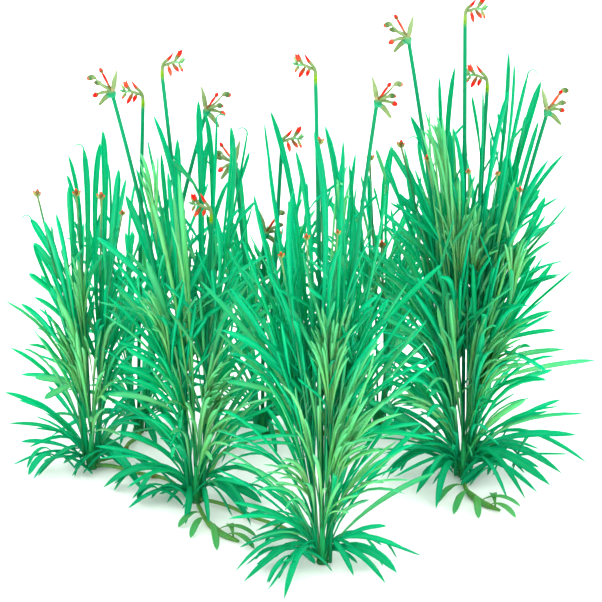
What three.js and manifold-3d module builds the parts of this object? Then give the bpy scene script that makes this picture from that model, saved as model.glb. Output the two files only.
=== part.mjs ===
// Buffalo grass: seven leafy tufts on crowns that creeping stems join, with flowering stems and bur stems.
// Millimetres, +Z up. +X is to the right, +Y is away from the viewer, and the ground is at z = 0.
import * as THREE from "three";
import { mergeVertices } from "three/addons/utils/BufferGeometryUtils.js";
import Module from "manifold-3d";

// Driving dimensions, in millimetres unless a name says otherwise
const SEED = 20;
const GAP = 0.3; // between pieces that touch on the plant
const VIEW_TILT = THREE.MathUtils.degToRad(26); // the lists below are read from this far above level
const CROWN_RADIUS = 7.2;
const CROWN_HEIGHT = 4.2;
const SOCKET_FLOOR = 1.3; // height of the bottom of a stem's hole in the crown
const SOCKET_ROOM = 0.45; // round a stem in its hole, which is upright while the stem leans
const STOLON_RADIUS = 1.15;
const STOLON_JOINT_RADIUS = 1.7;
const STOLON_JOINT_EVERY = 30;
const CULM_RADIUS = 1.05;
const BUR_STEM_RADIUS = 0.65;
const TIP_ABOVE_GROUND = 0.9;

// Where each tuft's crown stands, how high its leaves reach, and how far they spread
const TUFTS = {
  west: { at: [-119, 38], height: 196, spread: 46 },
  midwest: { at: [-59, -4], height: 238, spread: 55 },
  front: { at: [12, -79], height: 262, spread: 62 },
  east: { at: [92, 28], height: 250, spread: 66 },
  back_west: { at: [-93, 84], height: 170, spread: 50 },
  back_mid: { at: [-22, 80], height: 170, spread: 54 },
  back_east: { at: [44, 92], height: 175, spread: 54 },
};

// Leaf tips of the front tufts: across and up from the crown, as seen from the front
const TALL_TIPS = {
  west: [
    [8, 212], [6, 205], [-12, 197], [-3, 201], [10, 193], [17, 188], [-11, 178], [-18, 160], [-25, 156],
    [-33, 157], [-8, 150], [-31, 141], [-16, 138], [-34, 123], [-26, 121],
  ],
  midwest: [
    [-23, 241], [-10, 227], [2, 250], [6, 242], [12, 239], [20, 234], [29, 231], [7, 226], [21, 223],
    [19, 201], [-26, 226], [-39, 192], [-32, 208], [27, 186], [-19, 218],
  ],
  front: [
    [-29, 279], [-32, 272], [-15, 254], [1, 269], [11, 260], [10, 248], [7, 234], [-16, 230], [-19, 224],
    [-30, 255], [-5, 265], [17, 216], [-12, 194], [26, 201], [-38, 228], [-44, 200], [34, 228],
  ],
  east: [
    [-31, 226], [-26, 211], [-15, 249], [-6, 256], [-14, 222], [-9, 217], [9, 241], [24, 265], [26, 257],
    [34, 251], [42, 247], [41, 223], [23, 240], [25, 205], [46, 198], [55, 202], [43, 181], [46, 176],
    [-42, 207], [-45, 194], [-34, 196],
  ],
};
const SIDE_TIPS = {
  west: [
    [-32, 108], [-39, 104], [-31, 72], [-40, 59], [-32, 57], [-49, 48], [-32, 43], [-26, 44], [-41, 16],
    [30, 87], [35, 61],
  ],
  midwest: [
    [-36, 130], [-52, 118], [-44, 100], [-35, 110], [-45, 86], [-50, 67], [-45, 44], [-57, 35], [37, 108],
    [44, 77], [41, 45], [-27, 151],
  ],
  front: [
    [-50, 76], [-40, 50], [-50, 38], [-56, 145], [-48, 169], [-53, 113], [35, 163], [46, 138], [49, 110],
    [63, 56], [50, 82],
  ],
  east: [
    [45, 164], [53, 160], [48, 148], [56, 136], [54, 127], [46, 112], [50, 104], [52, 92], [57, 80],
    [75, 73], [51, 67], [56, 48], [64, 26], [-40, 179], [-45, 158], [-45, 138], [-52, 93], [-57, 74],
    [-42, 64], [-58, 50], [-64, 29], [-53, 16],
  ],
};
const YOUNG_TIPS = {
  west: [[-21, 95], [-31, 88], [-15, 130], [-20, 116], [-7, 87]],
  midwest: [[-31, 214], [-9, 205], [-12, 193], [5, 67], [15, 64], [24, 49], [10, 95]],
  front: [[16, 240], [28, 132], [34, 101], [17, 107], [41, 76], [-15, 110]],
  east: [[-20, 231], [-18, 212], [30, 184], [30, 111], [22, 92], [14, 113], [-9, 111]],
};
// Leaf tips that touch the ground: across and back from the crown
const GROUND_TIPS = {
  west: [
    [-29, 17], [-46, 3], [-32, -17], [-30, -27], [-27, -40], [-17, -32], [-6, -28], [20, -41], [27, -29],
    [17, 0],
  ],
  midwest: [
    [-51, 14], [-45, 19], [-39, -8], [-29, -13], [-22, -19], [-16, -28], [-40, -36], [37, -3], [30, -32],
    [8, -24], [21, -24],
  ],
  front: [
    [-44, 54], [-45, 19], [-39, 26], [-35, -4], [-25, -13], [-18, -20], [-46, -26], [-29, -35], [-22, -48],
    [12, -42], [5, -34], [21, 13], [54, 9], [31, -47], [36, -29], [40, -16], [33, 20],
  ],
  east: [
    [45, 32], [71, 14], [-40, 0], [-28, 14], [-22, -10], [-17, -27], [27, -34], [10, -33], [41, -24],
    [51, -38], [50, -14], [-38, -38], [56, 2],
  ],
};

// Leaves drawn at random to fill each tuft: how many, how high the tips are (share of the tuft's height),
// how far out (share of its spread), and how far the leaf arches above its chord (share of its length)
const FILL = {
  tall: { count: 4, backCount: 11, high: [0.62, 0.98], out: [0.3, 0.9], arch: [0, 0.03] },
  middle: { count: 8, backCount: 12, high: [0.22, 0.72], out: [0.6, 1.1], arch: [0.02, 0.16] },
  low: { count: 0, backCount: 3, high: [0, 0.01], out: [0.6, 1.1], arch: [0.3, 0.6] },
  young: { count: 3, backCount: 0, high: [0.22, 0.5], out: [0.2, 0.8], arch: [0, 0.06] },
};
// Each kind of leaf: how wide, how deep its keel, and the share of its path where it is widest
const KINDS = {
  tall: { width: 4.4, keel: 1.25, widest: 0.8 },
  middle: { width: 4.2, keel: 1.2, widest: 0.62 },
  low: { width: 4.3, keel: 1.15, widest: 0.55 },
  young: { width: 3.9, keel: 1.15, widest: 0.66 },
};
const LEAF_STEPS = [0, 0.4, 0.8, 1]; // shares of a leaf's path at its foot, its two bends and its tip
const LEAF_FOOT = 0.18; // share of its full width at its foot
const LEAF_DRIFT = 0.14; // how far a leaf may bend sideways, as a share of its length
const LOWEST_ROOT = 5.6; // of a leaf on its shoot
// Side leaves grow from part of the way up an upright leaf: tips this high, the upper limit as a share of
// the tuft's height, and roots this many of the upright leaf's steps up
const SIDE_LEAF_ABOVE = 50;
const SIDE_LEAF_BELOW = 0.78;
const SIDE_LEAF_ROOTS = [0.35, 1.5];
const ROOT_SHARE = 0.25; // of a leaf's first length, which may run beside others of its own shoot
const SLIMMEST = 0.62; // share of its width that a leaf may shrink to where the tuft is crowded
const TRIES = 600; // draws of one leaf before it is left out

// Shoots of a tuft: place on the crown, radii at foot and top, height, and the arc that its leaves fill
const SHOOTS = {
  left: { at: [-2.6, 0.8], radii: [2.1, 1.5], height: 46, lean: -3, arc: [93, 262] },
  right: { at: [2.6, 0.8], radii: [2.1, 1.5], height: 46, lean: 3, arc: [-82, 87] },
  young: { at: [0, -3.5], radii: [1.85, 1.3], height: 26, lean: 0, arc: [215, 325] },
};

// Flowering stems: tuft, socket, head, the side it faces, and the stem's top across and up from the crown
const CULMS = [
  ["midwest", 0, "comb", 1, -18, 265],
  ["midwest", 1, "fan", -1, -45, 251],
  ["midwest", 2, "comb", -1, 9, 176],
  ["back_west", 0, "comb", -1, 4, 206],
  ["back_west", 2, "fan", 1, 39, 199],
  ["front", 0, "comb", -1, -4, 297],
  ["front", 2, "fan", 1, 29, 280],
  ["back_mid", 2, "comb", 1, 11, 179],
  ["back_mid", 1, "fan", -1, -15, 168],
  ["back_mid", 0, "fan", 1, 1, 124],
  ["east", 1, "fan", -1, -32, 269],
  ["east", 0, "comb", 1, -1, 283],
  ["east", 4, "comb", -1, 12, 242],
  ["east", 2, "fan", 1, 45, 225],
];
// Bur stems: tuft, socket, and the bur across and up from the crown
const BUR_STEMS = [
  ["west", 1, -29, 171],
  ["west", 0, -7, 171],
  ["west", 2, 7, 169],
  ["front", 4, -2, 258],
  ["east", 3, -36, 206],
  ["back_east", 0, -5, 168],
  ["back_east", 2, 2, 113],
];
// Places of the stems' sockets on a crown
const SOCKETS = [[0, 4.2], [-4.2, -2.6], [4.2, -2.6], [-4.0, 4.2], [4.0, 4.2]];
// Creeping stems, crown to crown, with a bend sideways half way
const STOLONS = [
  ["west", "midwest", 9],
  ["midwest", "front", 10],
  ["west", "back_west", -7],
  ["midwest", "back_mid", 9],
  ["back_mid", "back_east", -8],
  ["back_east", "east", 8],
];
// Creeping shoots at the foot of a tuft: bends across and back from the crown, and leaf tips
const RUNNERS = [
  {
    tuft: "midwest",
    stem: [[0.9, -7.3], [6, -27], [14, -42], [24, -52]],
    tips: [[-10, -34], [-3, -47], [12, -62], [34, -45], [33, -60], [18, -30]],
  },
  {
    tuft: "east",
    stem: [[0.3, -7.5], [2, -22], [10, -36], [20, -46]],
    tips: [[-16, -38], [-6, -50], [8, -55], [32, -40], [29, -54], [16, -24]],
  },
];

const COLOURS = {
  leaf: { color: 0x12a86e, roughness: 0.55, metalness: 0 },
  young: { color: 0x86cf7a, roughness: 0.55, metalness: 0 },
  culm: { color: 0x0fa970, roughness: 0.5, metalness: 0 },
  head: { color: 0xa5c37e, roughness: 0.7, metalness: 0 },
  bur: { color: 0x9dae62, roughness: 0.75, metalness: 0 },
  stolon: { color: 0x5a8f4a, roughness: 0.75, metalness: 0 },
};

const UP = new THREE.Vector3(0, 0, 1);
const vec = (x, y, z) => new THREE.Vector3(x, y, z);
const mix = (a, b, t) => a + (b - a) * t;

// Random draws, the same each run
let state = SEED;
function draw() {
  state = (state + 0x6d2b79f5) >>> 0;
  let t = state;
  t = Math.imul(t ^ (t >>> 15), t | 1);
  t ^= t + Math.imul(t ^ (t >>> 7), t | 61);
  return ((t ^ (t >>> 14)) >>> 0) / 4294967296;
}
const between = ([low, high]) => mix(low, high, draw());

// A place seen from the front at (across, up) from a tuft's crown, and really this far back from it
function seenAt(tuft, across, up, back) {
  const [x, y] = TUFTS[tuft].at;
  return vec(x + across, y + back, up - back * Math.tan(VIEW_TILT));
}

function onCrown(tuft, [x, y], z) {
  return vec(TUFTS[tuft].at[0] + x, TUFTS[tuft].at[1] + y, z);
}

function bezier([a, b, c, d], t) {
  const s = 1 - t;
  return vec(0, 0, 0)
    .addScaledVector(a, s * s * s)
    .addScaledVector(b, 3 * s * s * t)
    .addScaledVector(c, 3 * s * t * t)
    .addScaledVector(d, t * t * t);
}

// Directions along a line of points, each from the neighbours of its point
function tangents(points) {
  return points.map((_, i) => {
    const ahead = points[Math.min(i + 1, points.length - 1)];
    return ahead.clone().sub(points[Math.max(i - 1, 0)]).normalize();
  });
}

// Clearance: a piece is a set of wires, each with two ends and a radius
function segmentDistance(p, q, a, b) {
  const u = q.clone().sub(p);
  const v = b.clone().sub(a);
  const w = p.clone().sub(a);
  const uu = u.dot(u);
  const uv = u.dot(v);
  const vv = v.dot(v);
  const uw = u.dot(w);
  const vw = v.dot(w);
  const det = uu * vv - uv * uv;
  let s = det > 1e-9 ? THREE.MathUtils.clamp((uv * vw - vv * uw) / det, 0, 1) : 0;
  const t = THREE.MathUtils.clamp((uv * s + vw) / vv, 0, 1);
  s = THREE.MathUtils.clamp((uv * t - uw) / uu, 0, 1);
  return w.addScaledVector(u, s).addScaledVector(v, -t).length();
}

function wire(a, b, radius, inner = false) {
  return { a, b, radius, inner, box: new THREE.Box3().setFromPoints([a, b]).expandByScalar(radius + GAP) };
}

function wiresAlong(points, radii) {
  return points.slice(1).map((p, i) => wire(points[i], p, Math.max(radii[i], radii[i + 1])));
}

const placed = []; // every piece so far: its node, its wires and their box
function place(node, wires) {
  const box = new THREE.Box3();
  wires.forEach((w) => box.union(w.box));
  placed.push({ node, wires, box });
}

// Whether wires keep clear of every other node, and beyond their roots of their own node too
function isClear(node, wires) {
  const box = new THREE.Box3();
  wires.forEach((w) => box.union(w.box));
  return placed.every((other) => {
    if (!other.box.intersectsBox(box)) return true;
    const own = other.node === node;
    return wires.every((w) =>
      other.wires.every((o) => {
        if ((own && (w.inner || o.inner)) || !w.box.intersectsBox(o.box)) return true;
        const room = w.radius + o.radius + (own ? 0 : GAP);
        return segmentDistance(w.a, w.b, o.a, o.b) > room;
      }),
    );
  });
}

// Solids
const wasm = await Module();
wasm.setup();

function solid(geometry) {
  geometry.deleteAttribute("normal");
  geometry.deleteAttribute("uv");
  const merged = mergeVertices(geometry, 1e-5);
  return new wasm.Manifold(
    new wasm.Mesh({
      numProp: 3,
      vertProperties: new Float32Array(merged.attributes.position.array),
      triVerts: new Uint32Array(merged.index.array),
    }),
  );
}

// A closed solid through rings of points, in right-handed order along it; a ring of one point is a tip
function loft(rings) {
  const corners = [];
  const face = (...points) => points.forEach((p) => corners.push(p.x, p.y, p.z));
  const cap = (ring, flip) => {
    for (let i = 1; i < ring.length - 1; i++) {
      if (flip) face(ring[0], ring[i + 1], ring[i]);
      else face(ring[0], ring[i], ring[i + 1]);
    }
  };
  cap(rings[0], true);
  for (let k = 0; k < rings.length - 1; k++) {
    const [low, high] = [rings[k], rings[k + 1]];
    for (let i = 0; i < Math.max(low.length, high.length); i++) {
      const j = (i + 1) % Math.max(low.length, high.length);
      if (low.length === 1) face(low[0], high[j], high[i]);
      else if (high.length === 1) face(low[i], low[j], high[0]);
      else {
        face(low[i], low[j], high[j]);
        face(low[i], high[j], high[i]);
      }
    }
  }
  cap(rings[rings.length - 1], false);
  const geometry = new THREE.BufferGeometry();
  geometry.setAttribute("position", new THREE.Float32BufferAttribute(corners, 3));
  return solid(geometry);
}

// A round solid along a line of points, with a radius at each; a radius of 0 is a tip
function rod(points, radii, sides) {
  const along = tangents(points);
  let side = vec(1, 0, 0);
  if (Math.abs(along[0].x) > 0.8) side = vec(0, 1, 0);
  return loft(
    points.map((p, i) => {
      if (radii[i] === 0) return [p];
      side.addScaledVector(along[i], -side.dot(along[i])).normalize();
      const other = along[i].clone().cross(side);
      return Array.from({ length: sides }, (_, k) => {
        const turn = (2 * Math.PI * k) / sides;
        return p
          .clone()
          .addScaledVector(side, Math.cos(turn) * radii[i])
          .addScaledVector(other, Math.sin(turn) * radii[i]);
      });
    }),
  );
}

const join = (solids) => solids.reduce((a, b) => a.add(b));

// A solid without the tiny hollows that crossing leaves seal between them
const filled = (made) => made.decompose().reduce((a, b) => (a.volume() > b.volume() ? a : b));

// Leaves. A leaf is a path, two twist angles and a width.
function widthAt(t, widest) {
  if (t < widest) return mix(LEAF_FOOT, 1, Math.pow(t / widest, 1.5));
  return 1 - Math.pow((t - widest) / (1 - widest), 2.2);
}

// Frames down a leaf: its middle line, the way across it and the way its keel points
function leafFrames(leaf) {
  const points = LEAF_STEPS.map((t) => bezier(leaf.path, t));
  const along = tangents(points);
  return points.map((point, i) => {
    const across = leaf.across.clone().addScaledVector(along[i], -leaf.across.dot(along[i])).normalize();
    const turn = leaf.twist[0] + leaf.twist[1] * LEAF_STEPS[i];
    const side = across.applyAxisAngle(along[i], turn);
    const keel = side.clone().cross(along[i]);
    const share = widthAt(LEAF_STEPS[i], leaf.widest);
    return { point, side, keel, half: (leaf.width / 2) * share, depth: leaf.keel * Math.sqrt(share) };
  });
}

function leafWires(leaf) {
  const frames = leafFrames(leaf);
  const wires = [];
  for (const [share, radius] of [[-1, 0.15], [-0.5, 0.35], [0, 0.55], [0.5, 0.35], [1, 0.15]]) {
    const points = frames.map((f) =>
      f.point
        .clone()
        .addScaledVector(f.side, f.half * share)
        .addScaledVector(f.keel, (f.depth * (1 - Math.abs(share))) / 2),
    );
    points.splice(1, 0, points[0].clone().lerp(points[1], ROOT_SHARE));
    for (let i = 0; i < LEAF_STEPS.length; i++) wires.push(wire(points[i], points[i + 1], radius, i < 1));
  }
  return wires;
}

function leafSolid(leaf) {
  const frames = leafFrames(leaf);
  const rings = frames.map(({ point, side, keel, half, depth }) => [
    point.clone().addScaledVector(side, -half),
    point.clone().addScaledVector(keel, depth),
    point.clone().addScaledVector(side, half),
  ]);
  rings[rings.length - 1] = [frames[frames.length - 1].point];
  return loft(rings);
}

// A place inside a leaf, this many of its steps up from its foot
function insideLeaf(leaf, steps) {
  const middles = leafFrames(leaf).map((f) => f.point.clone().addScaledVector(f.keel, f.depth / 3));
  const k = Math.floor(steps);
  return middles[k].lerp(middles[k + 1], steps - k);
}

function isSideLeaf(tuft, kindName, tip) {
  const inReach = tip.z > SIDE_LEAF_ABOVE && tip.z < SIDE_LEAF_BELOW * TUFTS[tuft].height;
  return inReach && (kindName === "tall" || kindName === "middle");
}

// Where a leaf grows from: an upright leaf of its shoot if it is a side leaf, or else the shoot
function drawRoot(tuft, shoot, kindName, tip) {
  const chance = draw();
  const pick = draw();
  const uprights = leaves["leaves_" + tuft + "_" + shoot].filter((leaf) => leaf.upright);
  if (isSideLeaf(tuft, kindName, tip) && uprights.length > 0) {
    const carrier = uprights[Math.floor(pick * uprights.length)];
    const reach = Math.min(1, tip.z / carrier.path[3].z);
    return insideLeaf(carrier, mix(...SIDE_LEAF_ROOTS, chance) * reach);
  }
  const [x, y] = TUFTS[tuft].at;
  const steep = tip.z / Math.hypot(tip.x - x, tip.y - y, tip.z);
  const share = THREE.MathUtils.clamp(Math.pow(steep, 6) + 0.5 * (chance - 0.5), 0, 1);
  return onShoot(tuft, SHOOTS[shoot], mix(LOWEST_ROOT, SHOOTS[shoot].height - 4, share));
}

// One draw of a leaf from a shoot to a tip
function drawLeaf(tuft, shoot, kindName, tip, arch, faced, slim) {
  const kind = KINDS[kindName];
  const root = drawRoot(tuft, shoot, kindName, tip);
  const way = tip.clone().sub(root);
  const length = way.length();
  const lean = mix(0.34, 0.66, draw());
  const low = root.clone().add(vec(way.x * 0.15, way.y * 0.15, way.z * 0.36 + 0.6 * arch * length));
  const high = root.clone().add(vec(way.x * lean, way.y * lean, way.z * 0.74 + arch * length));
  high.x += LEAF_DRIFT * length * (draw() - 0.5);
  high.y += LEAF_DRIFT * length * (draw() - 0.5);
  const sign = draw() < 0.5 ? -1 : 1;
  const turn = faced ? mix(0.7, 1.35, draw()) * Math.abs(way.x) / Math.hypot(way.x, way.y, 1) : draw();
  return {
    path: [root, low, high, tip],
    across: vec(-way.y, way.x, 0).normalize(),
    twist: [sign * turn, mix(-0.5, 0.5, draw())],
    width: kind.width * mix(0.62, 1.08, draw()) * slim,
    keel: kind.keel,
    widest: kind.widest,
    upright: kindName === "tall" && !isSideLeaf(tuft, kindName, tip),
    shoot,
  };
}

const aboveGround = (wires) => wires.every((w) => Math.min(w.a.z, w.b.z) > 0.5);

// Draws a leaf again and again until it is clear, and keeps it
function growLeaf(tuft, make) {
  for (let i = 0; i < TRIES; i++) {
    const leaf = make(mix(1, SLIMMEST, i / TRIES));
    const node = "leaves_" + tuft + "_" + leaf.shoot;
    const wires = leafWires(leaf);
    if (aboveGround(wires) && isClear(node, wires)) {
      place(node, wires);
      leaves[node].push(leaf);
      return;
    }
  }
}

const leaves = {};
const sideOf = (across) => (across < 0 ? "left" : "right");

// A leaf whose tip is seen from the front at a given place, at a depth drawn at random
function keyLeaf(tuft, kind, [across, up], shoot) {
  growLeaf(tuft, (slim) => {
    const back = (draw() + draw() - 1) * 0.75 * TUFTS[tuft].spread;
    const arch = kind === "middle" ? mix(0.04, 0.2, draw()) * (1 - up / 260) : 0;
    return drawLeaf(tuft, shoot, kind, seenAt(tuft, across, up, back), arch, true, slim);
  });
}

function groundLeaf(tuft, [across, back]) {
  growLeaf(tuft, (slim) => {
    const spot = [across + 4 * (draw() - 0.5), back + 4 * (draw() - 0.5)];
    const tip = onCrown(tuft, spot, TIP_ABOVE_GROUND);
    return drawLeaf(tuft, sideOf(across), "low", tip, mix(0.3, 0.55, draw()), false, slim);
  });
}

function fillLeaf(tuft, kind, shoot) {
  const { height, spread } = TUFTS[tuft];
  const fill = FILL[kind];
  growLeaf(tuft, (slim) => {
    const turn = THREE.MathUtils.degToRad(between(SHOOTS[shoot].arc));
    const out = between(fill.out) * spread;
    const up = Math.max(between(fill.high) * height, TIP_ABOVE_GROUND);
    const tip = onCrown(tuft, [out * Math.cos(turn), out * Math.sin(turn)], up);
    return drawLeaf(tuft, shoot, kind, tip, between(fill.arch), false, slim);
  });
}

// Stems
function onShoot(tuft, { at, height, lean }, z) {
  return onCrown(tuft, [at[0] + (lean * z) / height, at[1]], z);
}

function shootLine(tuft, shoot) {
  return [SOCKET_FLOOR + GAP, 0.9 * shoot.height, shoot.height].map((z) => onShoot(tuft, shoot, z));
}

function stemLine(tuft, socket, top) {
  const foot = onCrown(tuft, SOCKETS[socket], SOCKET_FLOOR + GAP);
  const way = top.clone().sub(foot);
  const low = foot.clone().add(vec(way.x * 0.12, way.y * 0.12, way.z * 0.34));
  const high = foot.clone().add(vec(way.x * 0.55, way.y * 0.55, way.z * 0.7));
  return [0, 1 / 3, 2 / 3, 1].map((t) => bezier([foot, low, high, top], t));
}

// A stem up to a place seen from the front, at a depth and with a turn of its head that are drawn again
// until both are clear
function growStem(node, tuft, index, across, up, radius, headWires) {
  for (let i = 0; i < TRIES; i++) {
    const top = seenAt(tuft, across, up, 30 * (draw() - 0.5));
    const turn = 0.9 * (draw() - 0.5);
    const line = stemLine(tuft, index, top);
    const wires = [...wiresAlong(line, line.map(() => radius)), ...headWires(top, turn)];
    if (isClear(node, wires)) {
      place(node, wires);
      return { line, turn };
    }
  }
  throw new Error("no room for " + node);
}

// Heads, as rods. Points are out to the side that the head faces, up, and aside, from the head's foot.
function spikelet(from, widest, to, radius, footRadius = 0) {
  return { line: [from, widest, to], radii: [footRadius, radius, 0], sides: 3 };
}
const HEADS = {
  // The stalk bends over and ends in a spikelet, and its branch bears more on both sides
  comb: [
    {
      line: [[0, 0], [0.1, 3.9], [0.9, 6.9], [3.8, 9.9, -0.6], [6.3, 13.9, -1.2]],
      radii: [0.95, 0.85, 0.75, 0.8, 0],
      sides: 4,
    },
    { line: [[0.5, 5], [3.4, 6.6], [6.7, 7.7], [12.2, 7.2]], radii: [0.5, 0.7, 0.75, 0], sides: 3 },
    spikelet([6.2, 7.5], [9.0, 12.0, 1.2], [10.5, 14.5, 1.8], 1.0),
    spikelet([9.0, 7.5], [10.6, 9.8, -0.8], [11.8, 11.7, -1.4], 0.65),
    spikelet([3.0, 6.4], [4.3, 2.9, -1.4], [5.0, 0.4, -2.0], 0.85),
    spikelet([5.2, 7.2], [7.3, 3.6, 1.4], [8.5, 1.3, 2.0], 0.9),
    spikelet([8.6, 7.5], [10.2, 4.6, -0.8], [10.9, 2.8, -1.2], 0.7),
  ],
  // A swollen joint bears an upright bract, a drooping one, and four stalked spikelets between them
  fan: [
    { line: [[0, 0], [0.8, 1.9], [1.2, 4.7]], radii: [1.15, 1.9, 0.8], sides: 4 },
    spikelet([0.5, 3.4], [-0.7, 9.6, 0.4], [-2.5, 17.6, 0.8], 1.05),
    spikelet([0.8, 1.4], [3.9, 0.0, -0.5], [8.2, -5.6, -1.0], 0.95),
    spikelet([1.0, 4.0], [6.5, 13.1, -2.2], [7.8, 15.4, -2.8], 1.15, 0.6),
    {
      line: [[1.8, 4.2], [7.0, 8.8, 2.2], [9.9, 12.7, 3.2], [13.0, 11.8, 3.8]],
      radii: [0.55, 0.5, 1.3, 0],
      sides: 3,
    },
    spikelet([1.2, 4.2], [8.5, 7.3, -1.0], [10.6, 7.4, -1.4], 1.05, 0.65),
    spikelet([1.2, 3.2], [8.8, 2.2, 1.6], [10.8, 0.9, 2.2], 1.15, 0.6),
  ],
};

function headRods(head, foot, facing, turn) {
  const out = vec(facing, 0, 0).applyAxisAngle(UP, turn);
  const aside = UP.clone().cross(out);
  return HEADS[head].map(({ line, radii, sides }) => {
    const points = line.map(([outward, up, sideward = 0]) =>
      foot.clone().addScaledVector(out, outward).addScaledVector(UP, up).addScaledVector(aside, sideward),
    );
    return { points, radii, sides };
  });
}

// A bur stem: the stem ends in one spikelet of the bur, and the other leans out from its foot
function burStem(line, aside) {
  const top = line[line.length - 1];
  const upright = [top.clone().add(vec(0, 0, 1.9)), top.clone().add(vec(0, 0, 4.8))];
  const stem = rod([...line, ...upright], [...line.map(() => BUR_STEM_RADIUS), 1.5, 0], 3);
  const foot = top.clone().add(vec(0, 0, -0.3));
  const tip = top.clone().add(vec(2.6 * aside, 0.6, 3.1));
  return stem.add(rod([foot, foot.clone().lerp(tip, 0.5), tip], [0, 1.35, 0], 3));
}

// Crowns and creeping stems
function crown(tuft) {
  const profile = [[0, 6.2], [1.5, CROWN_RADIUS], [CROWN_HEIGHT, 5.9]];
  const points = profile.map(([z]) => onCrown(tuft, [0, 0], z));
  return rod(points, profile.map(([, radius]) => radius), 8);
}

function socket(tuft, at, radius, sides) {
  const floor = onCrown(tuft, at, SOCKET_FLOOR);
  return rod([floor, onCrown(tuft, at, CROWN_HEIGHT + 2)], [radius, radius], sides);
}

function stolon([from, to, bend]) {
  const a = onCrown(from, [0, 0], 1.8);
  const b = onCrown(to, [0, 0], 1.8);
  const way = b.clone().sub(a);
  const aside = vec(-way.y, way.x, 0).normalize();
  const joints = Math.round(way.length() / STOLON_JOINT_EVERY);
  const points = [];
  const radii = [];
  for (let i = 0; i <= 3 * joints; i++) {
    const t = (i + (i % 3 === 1 ? -0.7 : 0) + (i % 3 === 2 ? 0.7 : 0)) / (3 * joints);
    const swing = bend * Math.sin(Math.PI * t) + 1.6 * Math.sin(4 * Math.PI * t);
    points.push(a.clone().lerp(b, t).addScaledVector(aside, swing).setZ(1.8));
    radii.push(i % 3 === 0 ? STOLON_JOINT_RADIUS : STOLON_RADIUS);
  }
  return { points, radii };
}

// A creeping stem's points without its two ends, which lie inside the crowns
function outsideCrowns(points) {
  const kept = points.slice(1, -1);
  const toRim = (centre, inner, next) => {
    const rim = next.clone().sub(inner).setLength(CROWN_RADIUS - inner.distanceTo(centre) + 0.5);
    return inner.clone().add(rim);
  };
  const last = kept.length - 1;
  kept[0] = toRim(points[0], points[1], points[2]);
  kept[last] = toRim(points[last + 2], points[last + 1], points[last]);
  return kept;
}

// A creeping shoot: its stem, and leaves rooted at even steps along it
function runnerLines({ tuft, stem, tips }) {
  const points = stem.map((p) => onCrown(tuft, p, 1.5));
  const radii = [1.15, 1.15, 1.05, 0.7];
  const grown = tips.map((tip, i) => {
    const root = nearest(points, points[0].clone().lerp(points[3], 0.22 + 0.14 * i));
    return runnerLeaf(root, onCrown(tuft, tip, TIP_ABOVE_GROUND));
  });
  return { points, radii, grown };
}

// The point on a bent line that is nearest to a place
function nearest(points, place) {
  const line = new THREE.Line3();
  const feet = points.slice(1).map((p, i) => line.set(points[i], p).closestPointToPoint(place, true, vec()));
  return feet.reduce((a, b) => (a.distanceTo(place) < b.distanceTo(place) ? a : b));
}

function runnerLeaf(root, tip) {
  const way = tip.clone().sub(root);
  const lift = 0.28 * way.length();
  return {
    path: [
      root,
      root.clone().addScaledVector(way, 0.3).add(vec(0, 0, lift)),
      root.clone().addScaledVector(way, 0.7).add(vec(0, 0, lift)),
      tip,
    ],
    across: vec(-way.y, way.x, 0).normalize(),
    twist: [0, 0],
    width: 3.6,
    keel: 1.0,
    widest: 0.55,
  };
}

// The scene: one mesh for each piece, placed on the ground round the middle of the stand
const stand = new THREE.Group();
function addMesh(name, made, colour) {
  const mesh = made.getMesh();
  const geometry = new THREE.BufferGeometry();
  geometry.setAttribute("position", new THREE.BufferAttribute(mesh.vertProperties, 3));
  geometry.setIndex(new THREE.BufferAttribute(mesh.triVerts, 1));
  geometry.computeVertexNormals();
  const item = new THREE.Mesh(geometry, new THREE.MeshStandardMaterial(COLOURS[colour]));
  item.name = name;
  stand.add(item);
}

// Creeping stems and crowns, with a socket for each shoot and each stem
let mat = join(Object.keys(TUFTS).map(crown));
STOLONS.forEach((line) => {
  const { points, radii } = stolon(line);
  mat = mat.add(rod(points, radii, 4));
  place("creeping_stems", wiresAlong(outsideCrowns(points), radii.slice(1, -1)));
});
const shootsOf = (tuft) => (tuft.startsWith("back") ? ["left", "right"] : ["left", "right", "young"]);
Object.keys(TUFTS).forEach((tuft) => {
  shootsOf(tuft).forEach((name) => {
    const shoot = SHOOTS[name];
    mat = mat.subtract(socket(tuft, shoot.at, shoot.radii[0] + GAP * Math.SQRT2, 4));
    const node = "leaves_" + tuft + "_" + name;
    place(node, wiresAlong(shootLine(tuft, shoot), [shoot.radii[0], shoot.radii[0], shoot.radii[1]]));
    leaves[node] = [];
  });
});
[...CULMS, ...BUR_STEMS].forEach(([tuft, index]) => {
  mat = mat.subtract(socket(tuft, SOCKETS[index], CULM_RADIUS + SOCKET_ROOM, 5));
});
addMesh("creeping_stems", mat, "stolon");

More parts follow.
